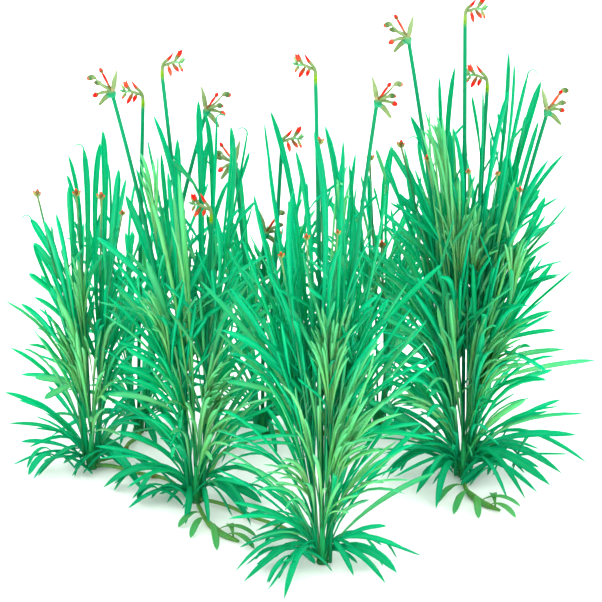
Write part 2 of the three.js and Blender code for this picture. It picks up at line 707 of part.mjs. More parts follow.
// Flowering stems with their heads, and bur stems
CULMS.forEach(([tuft, index, head, facing, across, up], i) => {
  const name = tuft + "_" + (i + 1);
  const rodsOn = (top, turn) => headRods(head, top.clone().add(vec(0, 0, GAP + 0.05)), facing, turn);
  const headWires = (top, turn) => rodsOn(top, turn).flatMap((r) => wiresAlong(r.points, r.radii));
  const { line, turn } = growStem("culm_" + name, tuft, index, across, up, CULM_RADIUS, headWires);
  addMesh("culm_" + name, rod(line, [1.05, 1.05, 1.0, 0.85], 5), "culm");
  const pieces = rodsOn(line[3], turn).map((r) => rod(r.points, r.radii, r.sides));
  addMesh(head + "_head_" + name, join(pieces), "head");
});
BUR_STEMS.forEach(([tuft, index, across, up], i) => {
  const name = "bur_stem_" + tuft + "_" + (i + 1);
  const burWires = (top) => [wire(top, top.clone().add(vec(0, 0, 4)), 2.2)];
  const { line } = growStem(name, tuft, index, across, up, BUR_STEM_RADIUS, burWires);
  addMesh(name, burStem(line, i % 2 ? 1 : -1), "bur");
});

// Creeping shoots with their leaves
RUNNERS.forEach((runner) => {
  const { points, radii, grown } = runnerLines(runner);
  const name = "runner_" + runner.tuft;
  place(name, [...wiresAlong(points, radii), ...grown.flatMap(leafWires)]);
  addMesh(name, join([rod(points, radii, 4), ...grown.map(leafSolid)]), "stolon");
});

// Leaves, first those that make the outline, then the rest
const frontTufts = Object.keys(TALL_TIPS);
frontTufts.forEach((tuft) => {
  TALL_TIPS[tuft].forEach((tip) => keyLeaf(tuft, "tall", tip, sideOf(tip[0])));
  YOUNG_TIPS[tuft].forEach((tip) => keyLeaf(tuft, "young", tip, "young"));
});
frontTufts.forEach((tuft) => {
  SIDE_TIPS[tuft].forEach((tip) => keyLeaf(tuft, "middle", tip, sideOf(tip[0])));
});
frontTufts.forEach((tuft) => GROUND_TIPS[tuft].forEach((tip) => groundLeaf(tuft, tip)));
Object.keys(TUFTS).forEach((tuft) => {
  Object.keys(FILL).forEach((kind) => {
    const count = tuft.startsWith("back") ? FILL[kind].backCount : FILL[kind].count;
    for (let i = 0; i < count; i++) {
      const shoot = kind === "young" ? "young" : ["left", "right"][i % 2];
      fillLeaf(tuft, kind, shoot);
    }
  });
});
Object.entries(leaves).forEach(([node, grown]) => {
  const [tuft, shootName] = [node.slice(7, node.lastIndexOf("_")), node.slice(node.lastIndexOf("_") + 1)];
  const shoot = SHOOTS[shootName];
  const stem = rod(shootLine(tuft, shoot), [shoot.radii[0], shoot.radii[1], 0], 4);
  addMesh(node, filled(join([stem, ...grown.map(leafSolid)])), shootName === "young" ? "young" : "leaf");
});

const box = new THREE.Box3().setFromObject(stand);
const middle = box.getCenter(vec(0, 0, 0));
stand.position.set(-middle.x, -middle.y, -box.min.z);

const grass = new THREE.Group();
grass.add(stand);
export default grass;
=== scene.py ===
"""Buffalo grass: fine leaves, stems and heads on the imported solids, and the leaves that those leave out."""

import math
import random

import bpy
import numpy as np
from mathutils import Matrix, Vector
from mathutils.kdtree import KDTree


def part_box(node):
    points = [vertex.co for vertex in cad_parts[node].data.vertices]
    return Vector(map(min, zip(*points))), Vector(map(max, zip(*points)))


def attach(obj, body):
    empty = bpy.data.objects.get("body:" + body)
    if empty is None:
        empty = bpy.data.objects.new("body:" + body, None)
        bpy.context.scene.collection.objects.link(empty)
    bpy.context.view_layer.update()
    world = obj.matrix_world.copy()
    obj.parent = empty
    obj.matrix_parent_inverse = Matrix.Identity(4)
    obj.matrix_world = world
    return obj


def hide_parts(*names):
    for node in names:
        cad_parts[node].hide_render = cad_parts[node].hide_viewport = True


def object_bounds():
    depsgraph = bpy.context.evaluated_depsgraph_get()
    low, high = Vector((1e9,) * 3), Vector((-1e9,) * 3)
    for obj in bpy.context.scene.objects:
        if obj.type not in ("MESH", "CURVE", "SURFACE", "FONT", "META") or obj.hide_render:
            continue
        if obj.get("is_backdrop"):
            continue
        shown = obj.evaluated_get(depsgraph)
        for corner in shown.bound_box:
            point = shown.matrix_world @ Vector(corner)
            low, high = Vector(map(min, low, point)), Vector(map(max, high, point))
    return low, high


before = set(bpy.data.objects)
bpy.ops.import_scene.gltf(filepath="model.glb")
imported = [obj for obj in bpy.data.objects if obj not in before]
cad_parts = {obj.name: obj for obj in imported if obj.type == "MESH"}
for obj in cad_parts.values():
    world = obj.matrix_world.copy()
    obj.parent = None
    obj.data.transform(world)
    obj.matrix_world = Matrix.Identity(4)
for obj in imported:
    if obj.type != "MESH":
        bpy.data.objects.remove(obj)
cad_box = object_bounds()

# Named values of the part's source, in millimetres
SEED = 20
GAP = 0.3
VIEW_TILT = math.radians(26)
CROWN_RADIUS = 7.2
SOCKET_FLOOR = 1.3
STOLON_RADIUS = 1.15
STOLON_JOINT_RADIUS = 1.7
STOLON_JOINT_EVERY = 30
TIP_ABOVE_GROUND = 0.9
BUR_HEIGHT = 4.8
SAME_PLACE = 0.04  # between a drawn leaf tip and the solid's corner there
TUFTS = {
    "west": ((-119, 38), 196, 46),
    "midwest": ((-59, -4), 238, 55),
    "front": ((12, -79), 262, 62),
    "east": ((92, 28), 250, 66),
    "back_west": ((-93, 84), 170, 50),
    "back_mid": ((-22, 80), 170, 54),
    "back_east": ((44, 92), 175, 54),
}
TALL_TIPS = {
    "west": [
        (8, 212), (6, 205), (-12, 197), (-3, 201), (10, 193), (17, 188), (-11, 178), (-18, 160), (-25, 156),
        (-33, 157), (-8, 150), (-31, 141), (-16, 138), (-34, 123), (-26, 121),
    ],
    "midwest": [
        (-23, 241), (-10, 227), (2, 250), (6, 242), (12, 239), (20, 234), (29, 231), (7, 226), (21, 223),
        (19, 201), (-26, 226), (-39, 192), (-32, 208), (27, 186), (-19, 218),
    ],
    "front": [
        (-29, 279), (-32, 272), (-15, 254), (1, 269), (11, 260), (10, 248), (7, 234), (-16, 230), (-19, 224),
        (-30, 255), (-5, 265), (17, 216), (-12, 194), (26, 201), (-38, 228), (-44, 200), (34, 228),
    ],
    "east": [
        (-31, 226), (-26, 211), (-15, 249), (-6, 256), (-14, 222), (-9, 217), (9, 241), (24, 265), (26, 257),
        (34, 251), (42, 247), (41, 223), (23, 240), (25, 205), (46, 198), (55, 202), (43, 181), (46, 176),
        (-42, 207), (-45, 194), (-34, 196),
    ],
}
SIDE_TIPS = {
    "west": [
        (-32, 108), (-39, 104), (-31, 72), (-40, 59), (-32, 57), (-49, 48), (-32, 43), (-26, 44), (-41, 16),
        (30, 87), (35, 61),
    ],
    "midwest": [
        (-36, 130), (-52, 118), (-44, 100), (-35, 110), (-45, 86), (-50, 67), (-45, 44), (-57, 35), (37, 108),
        (44, 77), (41, 45), (-27, 151),
    ],
    "front": [
        (-50, 76), (-40, 50), (-50, 38), (-56, 145), (-48, 169), (-53, 113), (35, 163), (46, 138), (49, 110),
        (63, 56), (50, 82),
    ],
    "east": [
        (45, 164), (53, 160), (48, 148), (56, 136), (54, 127), (46, 112), (50, 104), (52, 92), (57, 80),
        (75, 73), (51, 67), (56, 48), (64, 26), (-40, 179), (-45, 158), (-45, 138), (-52, 93), (-57, 74),
        (-42, 64), (-58, 50), (-64, 29), (-53, 16),
    ],
}
YOUNG_TIPS = {
    "west": [(-21, 95), (-31, 88), (-15, 130), (-20, 116), (-7, 87)],
    "midwest": [(-31, 214), (-9, 205), (-12, 193), (5, 67), (15, 64), (24, 49), (10, 95)],
    "front": [(16, 240), (28, 132), (34, 101), (17, 107), (41, 76), (-15, 110)],
    "east": [(-20, 231), (-18, 212), (30, 184), (30, 111), (22, 92), (14, 113), (-9, 111)],
}
GROUND_TIPS = {
    "west": [
        (-29, 17), (-46, 3), (-32, -17), (-30, -27), (-27, -40), (-17, -32), (-6, -28), (20, -41), (27, -29),
        (17, 0),
    ],
    "midwest": [
        (-51, 14), (-45, 19), (-39, -8), (-29, -13), (-22, -19), (-16, -28), (-40, -36), (37, -3), (30, -32),
        (8, -24), (21, -24),
    ],
    "front": [
        (-44, 54), (-45, 19), (-39, 26), (-35, -4), (-25, -13), (-18, -20), (-46, -26), (-29, -35),
        (-22, -48), (12, -42), (5, -34), (21, 13), (54, 9), (31, -47), (36, -29), (40, -16), (33, 20),
    ],
    "east": [
        (45, 32), (71, 14), (-40, 0), (-28, 14), (-22, -10), (-17, -27), (27, -34), (10, -33), (41, -24),
        (51, -38), (50, -14), (-38, -38), (56, 2),
    ],
}
# Leaves drawn at random: how many on a front tuft and on a back one, how high, how far out, how arched
FILL = {
    "tall": (4, 11, (0.62, 0.98), (0.3, 0.9), (0, 0.03)),
    "middle": (8, 12, (0.22, 0.72), (0.6, 1.1), (0.02, 0.16)),
    "low": (0, 3, (0, 0.01), (0.6, 1.1), (0.3, 0.6)),
    "young": (3, 0, (0.22, 0.5), (0.2, 0.8), (0, 0.06)),
}
# Each kind of leaf: how wide, how deep its keel, and the share of its path where it is widest here
KINDS = {
    "tall": (4.4, 1.25, 0.8),
    "middle": (4.2, 1.2, 0.62),
    "low": (4.3, 1.15, 0.5),
    "young": (3.9, 1.15, 0.66),
    "runner": (4.2, 1.0, 0.55),
}
LEAF_FOOT = 0.18
LEAF_DRIFT = 0.14
LOWEST_ROOT = 5.6
SIDE_LEAF_ABOVE = 50
SIDE_LEAF_BELOW = 0.78
SIDE_LEAF_ROOTS = (0.35, 1.5)
SLIMMEST = 0.62
TRIES = 600
SHOOTS = {
    "left": {"at": (-2.6, 0.8), "radii": (2.1, 1.5), "height": 46, "lean": -3, "arc": (93, 262)},
    "right": {"at": (2.6, 0.8), "radii": (2.1, 1.5), "height": 46, "lean": 3, "arc": (-82, 87)},
    "young": {"at": (0, -3.5), "radii": (1.85, 1.3), "height": 26, "lean": 0, "arc": (215, 325)},
}
CULMS = [
    ("midwest", 0, "comb", 1, -18, 265),
    ("midwest", 1, "fan", -1, -45, 251),
    ("midwest", 2, "comb", -1, 9, 176),
    ("back_west", 0, "comb", -1, 4, 206),
    ("back_west", 2, "fan", 1, 39, 199),
    ("front", 0, "comb", -1, -4, 297),
    ("front", 2, "fan", 1, 29, 280),
    ("back_mid", 2, "comb", 1, 11, 179),
    ("back_mid", 1, "fan", -1, -15, 168),
    ("back_mid", 0, "fan", 1, 1, 124),
    ("east", 1, "fan", -1, -32, 269),
    ("east", 0, "comb", 1, -1, 283),
    ("east", 4, "comb", -1, 12, 242),
    ("east", 2, "fan", 1, 45, 225),
]
BUR_STEMS = [
    ("west", 1, -29, 171),
    ("west", 0, -7, 171),
    ("west", 2, 7, 169),
    ("front", 4, -2, 258),
    ("east", 3, -36, 206),
    ("back_east", 0, -5, 168),
    ("back_east", 2, 2, 113),
]
SOCKETS = [(0, 4.2), (-4.2, -2.6), (4.2, -2.6), (-4.0, 4.2), (4.0, 4.2)]
STOLONS = [
    ("west", "midwest", 9),
    ("midwest", "front", 10),
    ("west", "back_west", -7),
    ("midwest", "back_mid", 9),
    ("back_mid", "back_east", -8),
    ("back_east", "east", 8),
]
RUNNERS = {
    "midwest": (
        [(0.9, -7.3), (6, -27), (14, -42), (24, -52)],
        [(-10, -34), (-3, -47), (12, -62), (34, -45), (33, -60), (18, -30)],
    ),
    "east": (
        [(0.3, -7.5), (2, -22), (10, -36), (20, -46)],
        [(-16, -38), (-6, -50), (8, -55), (32, -40), (29, -54), (16, -24)],
    ),
}

# What this scene adds
LOOK_SEED = 5
LEAF_STEPS = 13  # along each leaf that the solids have
ADDED_STEPS = 9  # along each added leaf
ADDED_DRIFT = 0.09
LOW_KEEL = 1.5  # against the source, as the ground leaves are seen edge on
BLUNTNESS = 6  # how late a blade narrows towards its tip
PALEST = {"tall": 0.7, "middle": 1, "low": 0.42, "young": 1}
WIDTH_SHARES = {"tall": 0.94, "middle": 0.95, "low": 1.28, "young": 0.9}
# Added leaves that grow from the shoots: how high, how far out, how arched, and shares of their kind's width
ADDED = {
    "tall": ((0.5, 0.92), (0.1, 0.9), (0, 0.03), (0.5, 0.85)),
    "middle": ((0.07, 0.56), (0.4, 1.08), (0.03, 0.22), (0.5, 0.85)),
    "low": ((0, 0.01), (0.3, 0.85), (0.36, 0.66), (0.8, 1.2)),
}
# How many leaves are added to each tuft: those kinds, side leaves of ground leaves, young leaves, and side
# leaves low down and high up on the upright leaves
COUNTED = ("tall", "middle", "low", "ground", "young", "side", "upper")
ADDED_COUNTS = {
    "west": (5, 54, 8, 12, 16, 30, 14),
    "midwest": (6, 62, 8, 14, 24, 66, 26),
    "front": (8, 66, 7, 16, 24, 118, 26),
    "east": (12, 150, 14, 20, 28, 184, 34),
    "back_west": (6, 44, 8, 0, 0, 20, 8),
    "back_mid": (6, 46, 8, 0, 0, 36, 12),
    "back_east": (6, 50, 8, 0, 0, 44, 14),
}
# Side leaves: between which shares of the carrier, how many degrees they lean, how long they are, and the
# share of the tuft's height that their tips stay below
SIDE_LEAVES = {
    "side": (0.06, 0.6, (10, 42), (40, 104), 0.76),
    "upper": (0.4, 0.8, (10, 40), (16, 40), 0.94),
    "culm": (0.2, 0.66, (10, 32), (40, 80), 0.76),
}
UPPER_WIDTH = 0.7
GROUND_LEAF_BELOW = 2
CULM_LEAVES = 2
FAN_FOOT_NEARER = 0.2  # of the tuft's spread
# Pale fans among the leaves, as seen: foot, middle of the tips, half the width there, and how many leaves
PALE_FANS = {
    "west": [((-6, 28), (-15, 78), 8, 16), ((-2, 84), (-4, 121), 5, 10)],
    "midwest": [
        ((6, 27), (15, 67), 12, 24), ((-20, 80), (-26, 120), 8, 16), ((-21, 164), (-26, 207), 6, 8),
    ],
    "front": [
        ((0, 85), (5, 144), 12, 44), ((9, 39), (22, 82), 12, 22), ((-12, 29), (-28, 57), 6, 10),
        ((8, 204), (11, 235), 5, 6),
    ],
    "east": [
        ((8, 33), (22, 83), 16, 34), ((8, 111), (11, 155), 8, 20), ((-12, 173), (-18, 211), 6, 10),
        ((25, 111), (30, 148), 8, 14), ((-4, 112), (-7, 168), 13, 24),
    ],
}
# Small burs between the leaves, as seen
MORE_BURS = [
    ("west", 19, 159), ("front", -9, 200), ("front", 8, 203), ("front", -23, 189), ("east", -22, 197),
    ("east", 1, 189), ("east", 17, 188), ("east", 30, 178),
]
BUR_NEARER = 0.5  # of the tuft's spread
# Tall leaves whose tips are bent over, and to which side
HOOKS = {
    ("west", (-3, 201)): -1,
    ("west", (-33, 157)): -1,
    ("midwest", (12, 239)): 1,
    ("midwest", (29, 231)): -1,
    ("east", (-26, 211)): -1,
    ("east", (34, 251)): 1,
}


def vec(*numbers):
    return np.array(numbers, float)


def mix(a, b, t):
    return a + (b - a) * t


def unit(v):
    return v / np.linalg.norm(v)


# The stand's own coordinates are moved so that the middle of its box is at the origin
mat_low, mat_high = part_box("creeping_stems")
SHIFT = vec(
    mat_high.x * 1000 - (TUFTS["east"][0][0] + CROWN_RADIUS),
    mat_low.y * 1000 - (TUFTS["front"][0][1] - CROWN_RADIUS),
    0,
)


def source_draws(seed):
    """The source's random draws, one after another."""
    mask = 0xFFFFFFFF
    while True:
        seed = (seed + 0x6D2B79F5) & mask
        t = seed
        t = ((t ^ (t >> 15)) * (t | 1)) & mask
        t ^= (t + ((t ^ (t >> 7)) * (t | 61) & mask)) & mask
        yield (t ^ (t >> 14)) / (mask + 1)


draw = source_draws(SEED).__next__
look = random.Random(LOOK_SEED)
between = look.uniform


def seen_at(tuft, across, up, back):
    x, y = TUFTS[tuft][0]
    return vec(x + across, y + back, up - back * math.tan(VIEW_TILT))


def on_crown(tuft, place, z):
    return vec(TUFTS[tuft][0][0] + place[0], TUFTS[tuft][0][1] + place[1], z)


def on_shoot(tuft, shoot, z):
    x, y = shoot["at"]
    return on_crown(tuft, (x + shoot["lean"] * z / shoot["height"], y), z)


def bezier(path, t):
    a, b, c, d = path
    t = np.asarray(t, float)[:, None]
    s = 1 - t
    return a * s**3 + b * 3 * s * s * t + c * 3 * s * t * t + d * t**3


def bezier_way(path, t):
    a, b, c, d = path
    t = np.asarray(t, float)[:, None]
    s = 1 - t
    way = (b - a) * s * s + (c - b) * 2 * s * t + (d - c) * t * t
    return way / np.linalg.norm(way, axis=1)[:, None]


def linked(name, data):
    item = bpy.data.objects.new(name, data)
    bpy.context.scene.collection.objects.link(item)
    return item


# Meshes: rings of points are gathered for a piece, each point with its colour or its place on the blade
class Piece:
    def __init__(self, name):
        self.name = name
        self.points = []
        self.faces = []
        self.values = []
        self.count = 0

    def rings(self, rings, values):
        """Joins closed rings, each with the same number of points, and closes both ends."""
        rings = np.asarray(rings, float)
        steps, sides = rings.shape[:2]
        base = self.count
        self.points.append(rings.reshape(-1, 3))
        self.values.append(np.asarray(values, float).reshape(steps * sides, -1))
        for k in range(steps - 1):
            for i in range(sides):
                j = (i + 1) % sides
                low, high = base + k * sides, base + (k + 1) * sides
                self.faces.append((low + i, low + j, high + j, high + i))
        self.faces.append(tuple(base + i for i in reversed(range(sides))))
        self.faces.append(tuple(base + (steps - 1) * sides + i for i in range(sides)))
        self.count += steps * sides

    def build(self, material, slot, replaces=(), colours=False):
        mesh = bpy.data.meshes.new(self.name)
        points = (np.concatenate(self.points) + SHIFT) / 1000
        mesh.from_pydata(points.tolist(), [], self.faces)
        mesh.polygons.foreach_set("use_smooth", [True] * len(mesh.polygons))
        values = np.concatenate(self.values)
        if colours:
            tone = mesh.color_attributes.new("tone", "FLOAT_COLOR", "POINT")
            tone.data.foreach_set("color", np.c_[values, np.ones(len(values))].ravel())
        else:
            for i, name in enumerate(("along", "across", "shade")):
                attribute = mesh.attributes.new(name, "FLOAT", "POINT")
                attribute.data.foreach_set("value", values[:, i])
        mesh.materials.append(material)
        mesh.update()
        item = linked(self.name, mesh)
        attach(item, "root")
        if replaces:
            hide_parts(*replaces)


def across_lines(points):
    """Two ways across a line of points at each of them, turning no more than the line does."""
    way = np.gradient(points, axis=0)
    way /= np.linalg.norm(way, axis=1)[:, None]
    side = vec(1, 0, 0) if abs(way[0][0]) < 0.8 else vec(0, 1, 0)
    sides = []
    for w in way:
        side = unit(side - w * side.dot(w))
        sides.append(side)
    sides = np.array(sides)
    return sides, np.cross(way, sides)


def tube(piece, points, radii, sides, values):
    """A round rod along a line; values has one row for each point of the line."""
    points = np.asarray(points, float)
    one, other = across_lines(points)
    turns = 2 * np.pi * np.arange(sides) / sides
    radii = np.asarray(radii, float)[:, None, None]
    rings = points[:, None] + radii * (
        np.cos(turns)[None, :, None] * one[:, None] + np.sin(turns)[None, :, None] * other[:, None]
    )
    piece.rings(rings, np.repeat(np.asarray(values, float)[:, None], sides, axis=1))


def smooth(rows, t):
    """A smooth line through rows of numbers, at shares t of it, with the same share between each two rows."""
    rows = np.asarray(rows, float)
    ahead = np.gradient(rows, axis=0)
    ts = np.asarray(t) * (len(rows) - 1)
    k = np.minimum(ts.astype(int), len(rows) - 2)
    t = (ts - k)[:, None]
    a, b = rows[k], rows[k + 1]
    return (
        a * (2 * t**3 - 3 * t**2 + 1)
        + b * (3 * t**2 - 2 * t**3)
        + ahead[k] * (t**3 - 2 * t**2 + t)
        + ahead[k + 1] * (t**3 - t**2)
    )


def to_tip(steps):
    """Shares of a length, closer together towards its end."""
    return 1 - (1 - np.linspace(0, 1, steps)) ** 1.6


# Leaves
def width_at(t, widest):
    rise = mix(LEAF_FOOT, 1, np.minimum(1, t / widest) ** 1.5)
    fall = np.maximum(0, (t - widest) / (1 - widest)) ** BLUNTNESS
    return rise * (1 - fall)


# A blade's section: shares of the half width, and how many thicknesses below the upper face
SECTION = [(-1, 0), (-0.6, 0), (0, 0), (0.6, 0), (1, 0), (0.6, 1), (0, 1.2), (-0.6, 1)]
THICKNESS = 0.42
KEEL_SHARE = 0.95
BLUNT_END = 0.45
SHARP_TIP = 0.02


def blade(piece, leaf, steps=ADDED_STEPS, blunt=False):
    """One leaf: an arched blade that thins to its edges and its tip."""
    t = to_tip(steps)
    points = bezier(leaf["path"], t)
    way = bezier_way(leaf["path"], t)
    across = leaf["across"] - way * (way @ leaf["across"])[:, None]
    across /= np.linalg.norm(across, axis=1)[:, None]
    turn = (leaf["twist"][0] + leaf["twist"][1] * t)[:, None]
    side = across * np.cos(turn) + np.cross(way, across) * np.sin(turn)
    keel = np.cross(side, way)
    share = width_at(t, leaf["widest"])
    if blunt:
        share = np.maximum(share, BLUNT_END)
    share[-1] = SHARP_TIP
    half = leaf["width"] / 2 * share
    depth = leaf["keel"] * np.sqrt(share)
    rings = []
    values = []
    age = mix(leaf["age"], 1, t)
    for s, under in SECTION:
        lift = depth * (1 - s * s) * KEEL_SHARE - THICKNESS * under * np.sqrt(share)
        rings.append(points + side * (half * s)[:, None] + keel * lift[:, None])
        values.append(np.stack([age, np.full(steps, s, float), np.full(steps, leaf["shade"])], axis=1))
    piece.rings(np.stack(rings, axis=1), np.stack(values, axis=1))


def leaf_of(kind, path, twist, width, shade, widest=None, age=0, across=None):
    """What a blade is made from. Its width is a share of its kind's, and it lies level unless told across."""
    usual_width, keel, usual_widest = KINDS[kind]
    way = path[3] - path[0]
    return {
        "path": path,
        "across": unit(vec(-way[1], way[0], 0)) if across is None else across,
        "twist": twist,
        "width": usual_width * width,
        "keel": keel,
        "widest": widest or usual_widest,
        "age": age,
        "shade": shade,
    }


def leaf_path(root, tip, arch, lean, drift):
    way = tip - root
    length = np.linalg.norm(way)
    low = root + vec(way[0] * 0.15, way[1] * 0.15, way[2] * 0.36 + 0.6 * arch * length)
    high = root + vec(way[0] * lean, way[1] * lean, way[2] * 0.74 + arch * length)
    high[:2] += length * np.array(drift)
    return [root, low, high, tip]


def root_on_shoot(tuft, shoot_name, tip, chance):
    x, y = TUFTS[tuft][0]
    steep = tip[2] / math.hypot(tip[0] - x, tip[1] - y, tip[2])
    share = min(max(steep**6 + 0.5 * (chance - 0.5), 0), 1)
    shoot = SHOOTS[shoot_name]
    return on_shoot(tuft, shoot, mix(LOWEST_ROOT, shoot["height"] - 4, share))


def root_on_leaf(carrier, tip, chance):
    """A place part of the way up an upright leaf."""
    steps = mix(*SIDE_LEAF_ROOTS, chance) * min(1, tip[2] / carrier["path"][3][2])
    return bezier(carrier["path"], [np.interp(steps, [0, 1, 2], [0, 0.4, 0.8])])[0]


def drawn_leaf(tuft, shoot, kind, tip, arch, faced, slim, draws):
    """The leaf that the source draws with these nine numbers."""
    in_reach = SIDE_LEAF_ABOVE < tip[2] < SIDE_LEAF_BELOW * TUFTS[tuft][1]
    is_side_leaf = in_reach and kind in ("tall", "middle")
    uprights = [leaf for leaf in leaves[tuft, shoot] if leaf["upright"]]
    if is_side_leaf and uprights:
        root = root_on_leaf(uprights[int(draws[1] * len(uprights))], tip, draws[0])
    else:
        root = root_on_shoot(tuft, shoot, tip, draws[0])
    way = tip - root
    sign = -1 if draws[5] < 0.5 else 1
    turn = draws[6]
    if faced:
        turn = mix(0.7, 1.35, draws[6]) * abs(way[0]) / math.hypot(way[0], way[1], 1)
    drift = [LEAF_DRIFT * (chance - 0.5) for chance in draws[3:5]]
    leaf = leaf_of(
        kind,
        leaf_path(root, tip, arch, mix(0.34, 0.66, draws[2]), drift),
        twist=(sign * turn, mix(-0.5, 0.5, draws[7])),
        width=mix(0.62, 1.08, draws[8]) * slim * WIDTH_SHARES[kind],
        shade=between(0, PALEST[kind]),
        age=0.3 if is_side_leaf else 0,
    )
    if kind == "low":
        leaf["keel"] *= LOW_KEEL
    leaf["upright"] = kind == "tall" and not is_side_leaf
    return leaf


trees = {}
for node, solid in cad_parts.items():
    trees[node] = KDTree(len(solid.data.vertices))
    for i, corner in enumerate(solid.data.vertices):
        trees[node].insert(corner.co, i)
    trees[node].balance()


def has_corner(node, place):
    """Whether a solid has a corner at a place, as it has at the tip of each leaf that the source kept."""
    _, _, distance = trees[node].find(Vector((place + SHIFT) / 1000))
    return distance < SAME_PLACE / 1000


# The leaves found so far on each shoot; the back tufts have no young one
leaves = {(t, s): [] for t in TUFTS for s in SHOOTS if s != "young" or t in TALL_TIPS}


def grow_leaf(tuft, shoot, kind, make, faced, key=None):
    for i in range(TRIES):
        tip, arch = make()
        draws = [draw() for _ in range(9)]
        if has_corner(f"leaves_{tuft}_{shoot}", tip):
            slim = mix(1, SLIMMEST, i / TRIES)
            leaf = drawn_leaf(tuft, shoot, kind, tip, arch, faced, slim, draws)
            leaf["hook"] = HOOKS.get((tuft, key), 0)
            leaves[tuft, shoot].append(leaf)
            return


def key_leaf(tuft, kind, place, shoot):
    def make():
        back = (draw() + draw() - 1) * 0.75 * TUFTS[tuft][2]
        arch = mix(0.04, 0.2, draw()) * (1 - place[1] / 260) if kind == "middle" else 0
        return seen_at(tuft, *place, back), arch

    grow_leaf(tuft, shoot, kind, make, True, place)


def ground_leaf(tuft, place):
    def make():
        spot = (place[0] + 4 * (draw() - 0.5), place[1] + 4 * (draw() - 0.5))
        return on_crown(tuft, spot, TIP_ABOVE_GROUND), mix(0.3, 0.55, draw())

    grow_leaf(tuft, side_of(place[0]), "low", make, False)


def fill_tip(tuft, shoot, high, far, arch, chance):
    """A tip and an arch at random, by the shares of a kind of leaf."""
    _, height, spread = TUFTS[tuft]
    turn = math.radians(mix(*SHOOTS[shoot]["arc"], chance()))
    out = mix(*far, chance()) * spread
    up = max(mix(*high, chance()) * height, TIP_ABOVE_GROUND)
    tip = on_crown(tuft, (out * math.cos(turn), out * math.sin(turn)), up)
    return tip, mix(*arch, chance())


def side_of(across):
    return "left" if across < 0 else "right"


def stem_path(foot, top):
    way = top - foot
    return [foot, foot + way * vec(0.12, 0.12, 0.34), foot + way * vec(0.55, 0.55, 0.7), top]


# The source's order of draws: stems, bur stems, then leaves
def drawn_stem(tuft, socket, across, up, kept):
    """Draws depths and turns until those that the source kept, and gives the stem's path and its turn."""
    for _ in range(TRIES):
        top = seen_at(tuft, across, up, 30 * (draw() - 0.5))
        turn = 0.9 * (draw() - 0.5)
        if np.linalg.norm(top - kept) < 0.1:
            return stem_path(on_crown(tuft, SOCKETS[socket], SOCKET_FLOOR + GAP), top), turn
    raise ValueError(f"no stem at {tuft} {across} {up}")


def highest(node, count):
    """The middle of the highest corners of a solid."""
    corners = {tuple(round(x, 7) for x in v.co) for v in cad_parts[node].data.vertices}
    top = sorted(corners, key=lambda corner: -corner[2])[:count]
    return np.mean(top, axis=0) * 1000 - SHIFT


culms = []
for i, (tuft, socket, head, facing, across, up) in enumerate(CULMS):
    name = f"{tuft}_{i + 1}"
    path, turn = drawn_stem(tuft, socket, across, up, highest("culm_" + name, 5))
    culms.append((name, head, facing, path, turn))
bur_lines = []
for i, (tuft, socket, across, up) in enumerate(BUR_STEMS):
    name = f"bur_stem_{tuft}_{i + 1}"
    kept = highest(name, 1) - vec(0, 0, BUR_HEIGHT)
    bur_lines.append((name, drawn_stem(tuft, socket, across, up, kept)[0], 1 if i % 2 else -1))

for tuft, places in TALL_TIPS.items():
    for place in places:
        key_leaf(tuft, "tall", place, side_of(place[0]))
    for place in YOUNG_TIPS[tuft]:
        key_leaf(tuft, "young", place, "young")
for tuft, places in SIDE_TIPS.items():
    for place in places:
        key_leaf(tuft, "middle", place, side_of(place[0]))
for tuft, places in GROUND_TIPS.items():
    for place in places:
        ground_leaf(tuft, place)
for tuft in TUFTS:
    for kind, fill in FILL.items():
        for i in range(fill[1] if tuft.startswith("back") else fill[0]):
            shoot = "young" if kind == "young" else ("left", "right")[i % 2]
            grow_leaf(tuft, shoot, kind, lambda: fill_tip(tuft, shoot, *fill[2:], draw), False)


# Materials
def new_material(name):
    material = bpy.data.materials.new(name)
    material.use_nodes = True
    tree = material.node_tree
    return material, tree, tree.nodes["Principled BSDF"]


def attribute(tree, name, output="Fac"):
    made = tree.nodes.new("ShaderNodeAttribute")
    made.attribute_name = name
    return made.outputs[output]


def own_place(tree):
    """Where a point is, in the object's own metres."""
    return tree.nodes.new("ShaderNodeTexCoord").outputs["Object"]


def noise(tree, scale, detail=4, stretch=(1, 1, 1)):
    scaled = tree.nodes.new("ShaderNodeMapping")
    scaled.inputs["Scale"].default_value = stretch
    made = tree.nodes.new("ShaderNodeTexNoise")
    made.inputs["Scale"].default_value = scale
    made.inputs["Detail"].default_value = detail
    tree.links.new(own_place(tree), scaled.inputs["Vector"])
    tree.links.new(scaled.outputs["Vector"], made.inputs["Vector"])
    return made.outputs["Fac"]


def linear(colour):
    share = [c / 255 for c in colour]
    return [c / 12.92 if c <= 0.04045 else ((c + 0.055) / 1.055) ** 2.4 for c in share]


def ramp(tree, source, stops):
    """Follows (place, value) stops, where each value is an sRGB colour or a share."""
    made = tree.nodes.new("ShaderNodeValToRGB")
    while len(made.color_ramp.elements) < len(stops):
        made.color_ramp.elements.new(0.5)
    for element, (place, value) in zip(made.color_ramp.elements, stops):
        element.position = place
        element.color = (*(linear(value) if isinstance(value, tuple) else [value] * 3), 1)
    tree.links.new(source, made.inputs["Fac"])
    return made.outputs["Color"]


def math_node(tree, operation, *values):
    made = tree.nodes.new("ShaderNodeMath")
    made.operation = operation
    for socket, value in zip(made.inputs, values):
        if isinstance(value, (int, float)):
            socket.default_value = value
        else:
            tree.links.new(value, socket)
    return made.outputs["Value"]


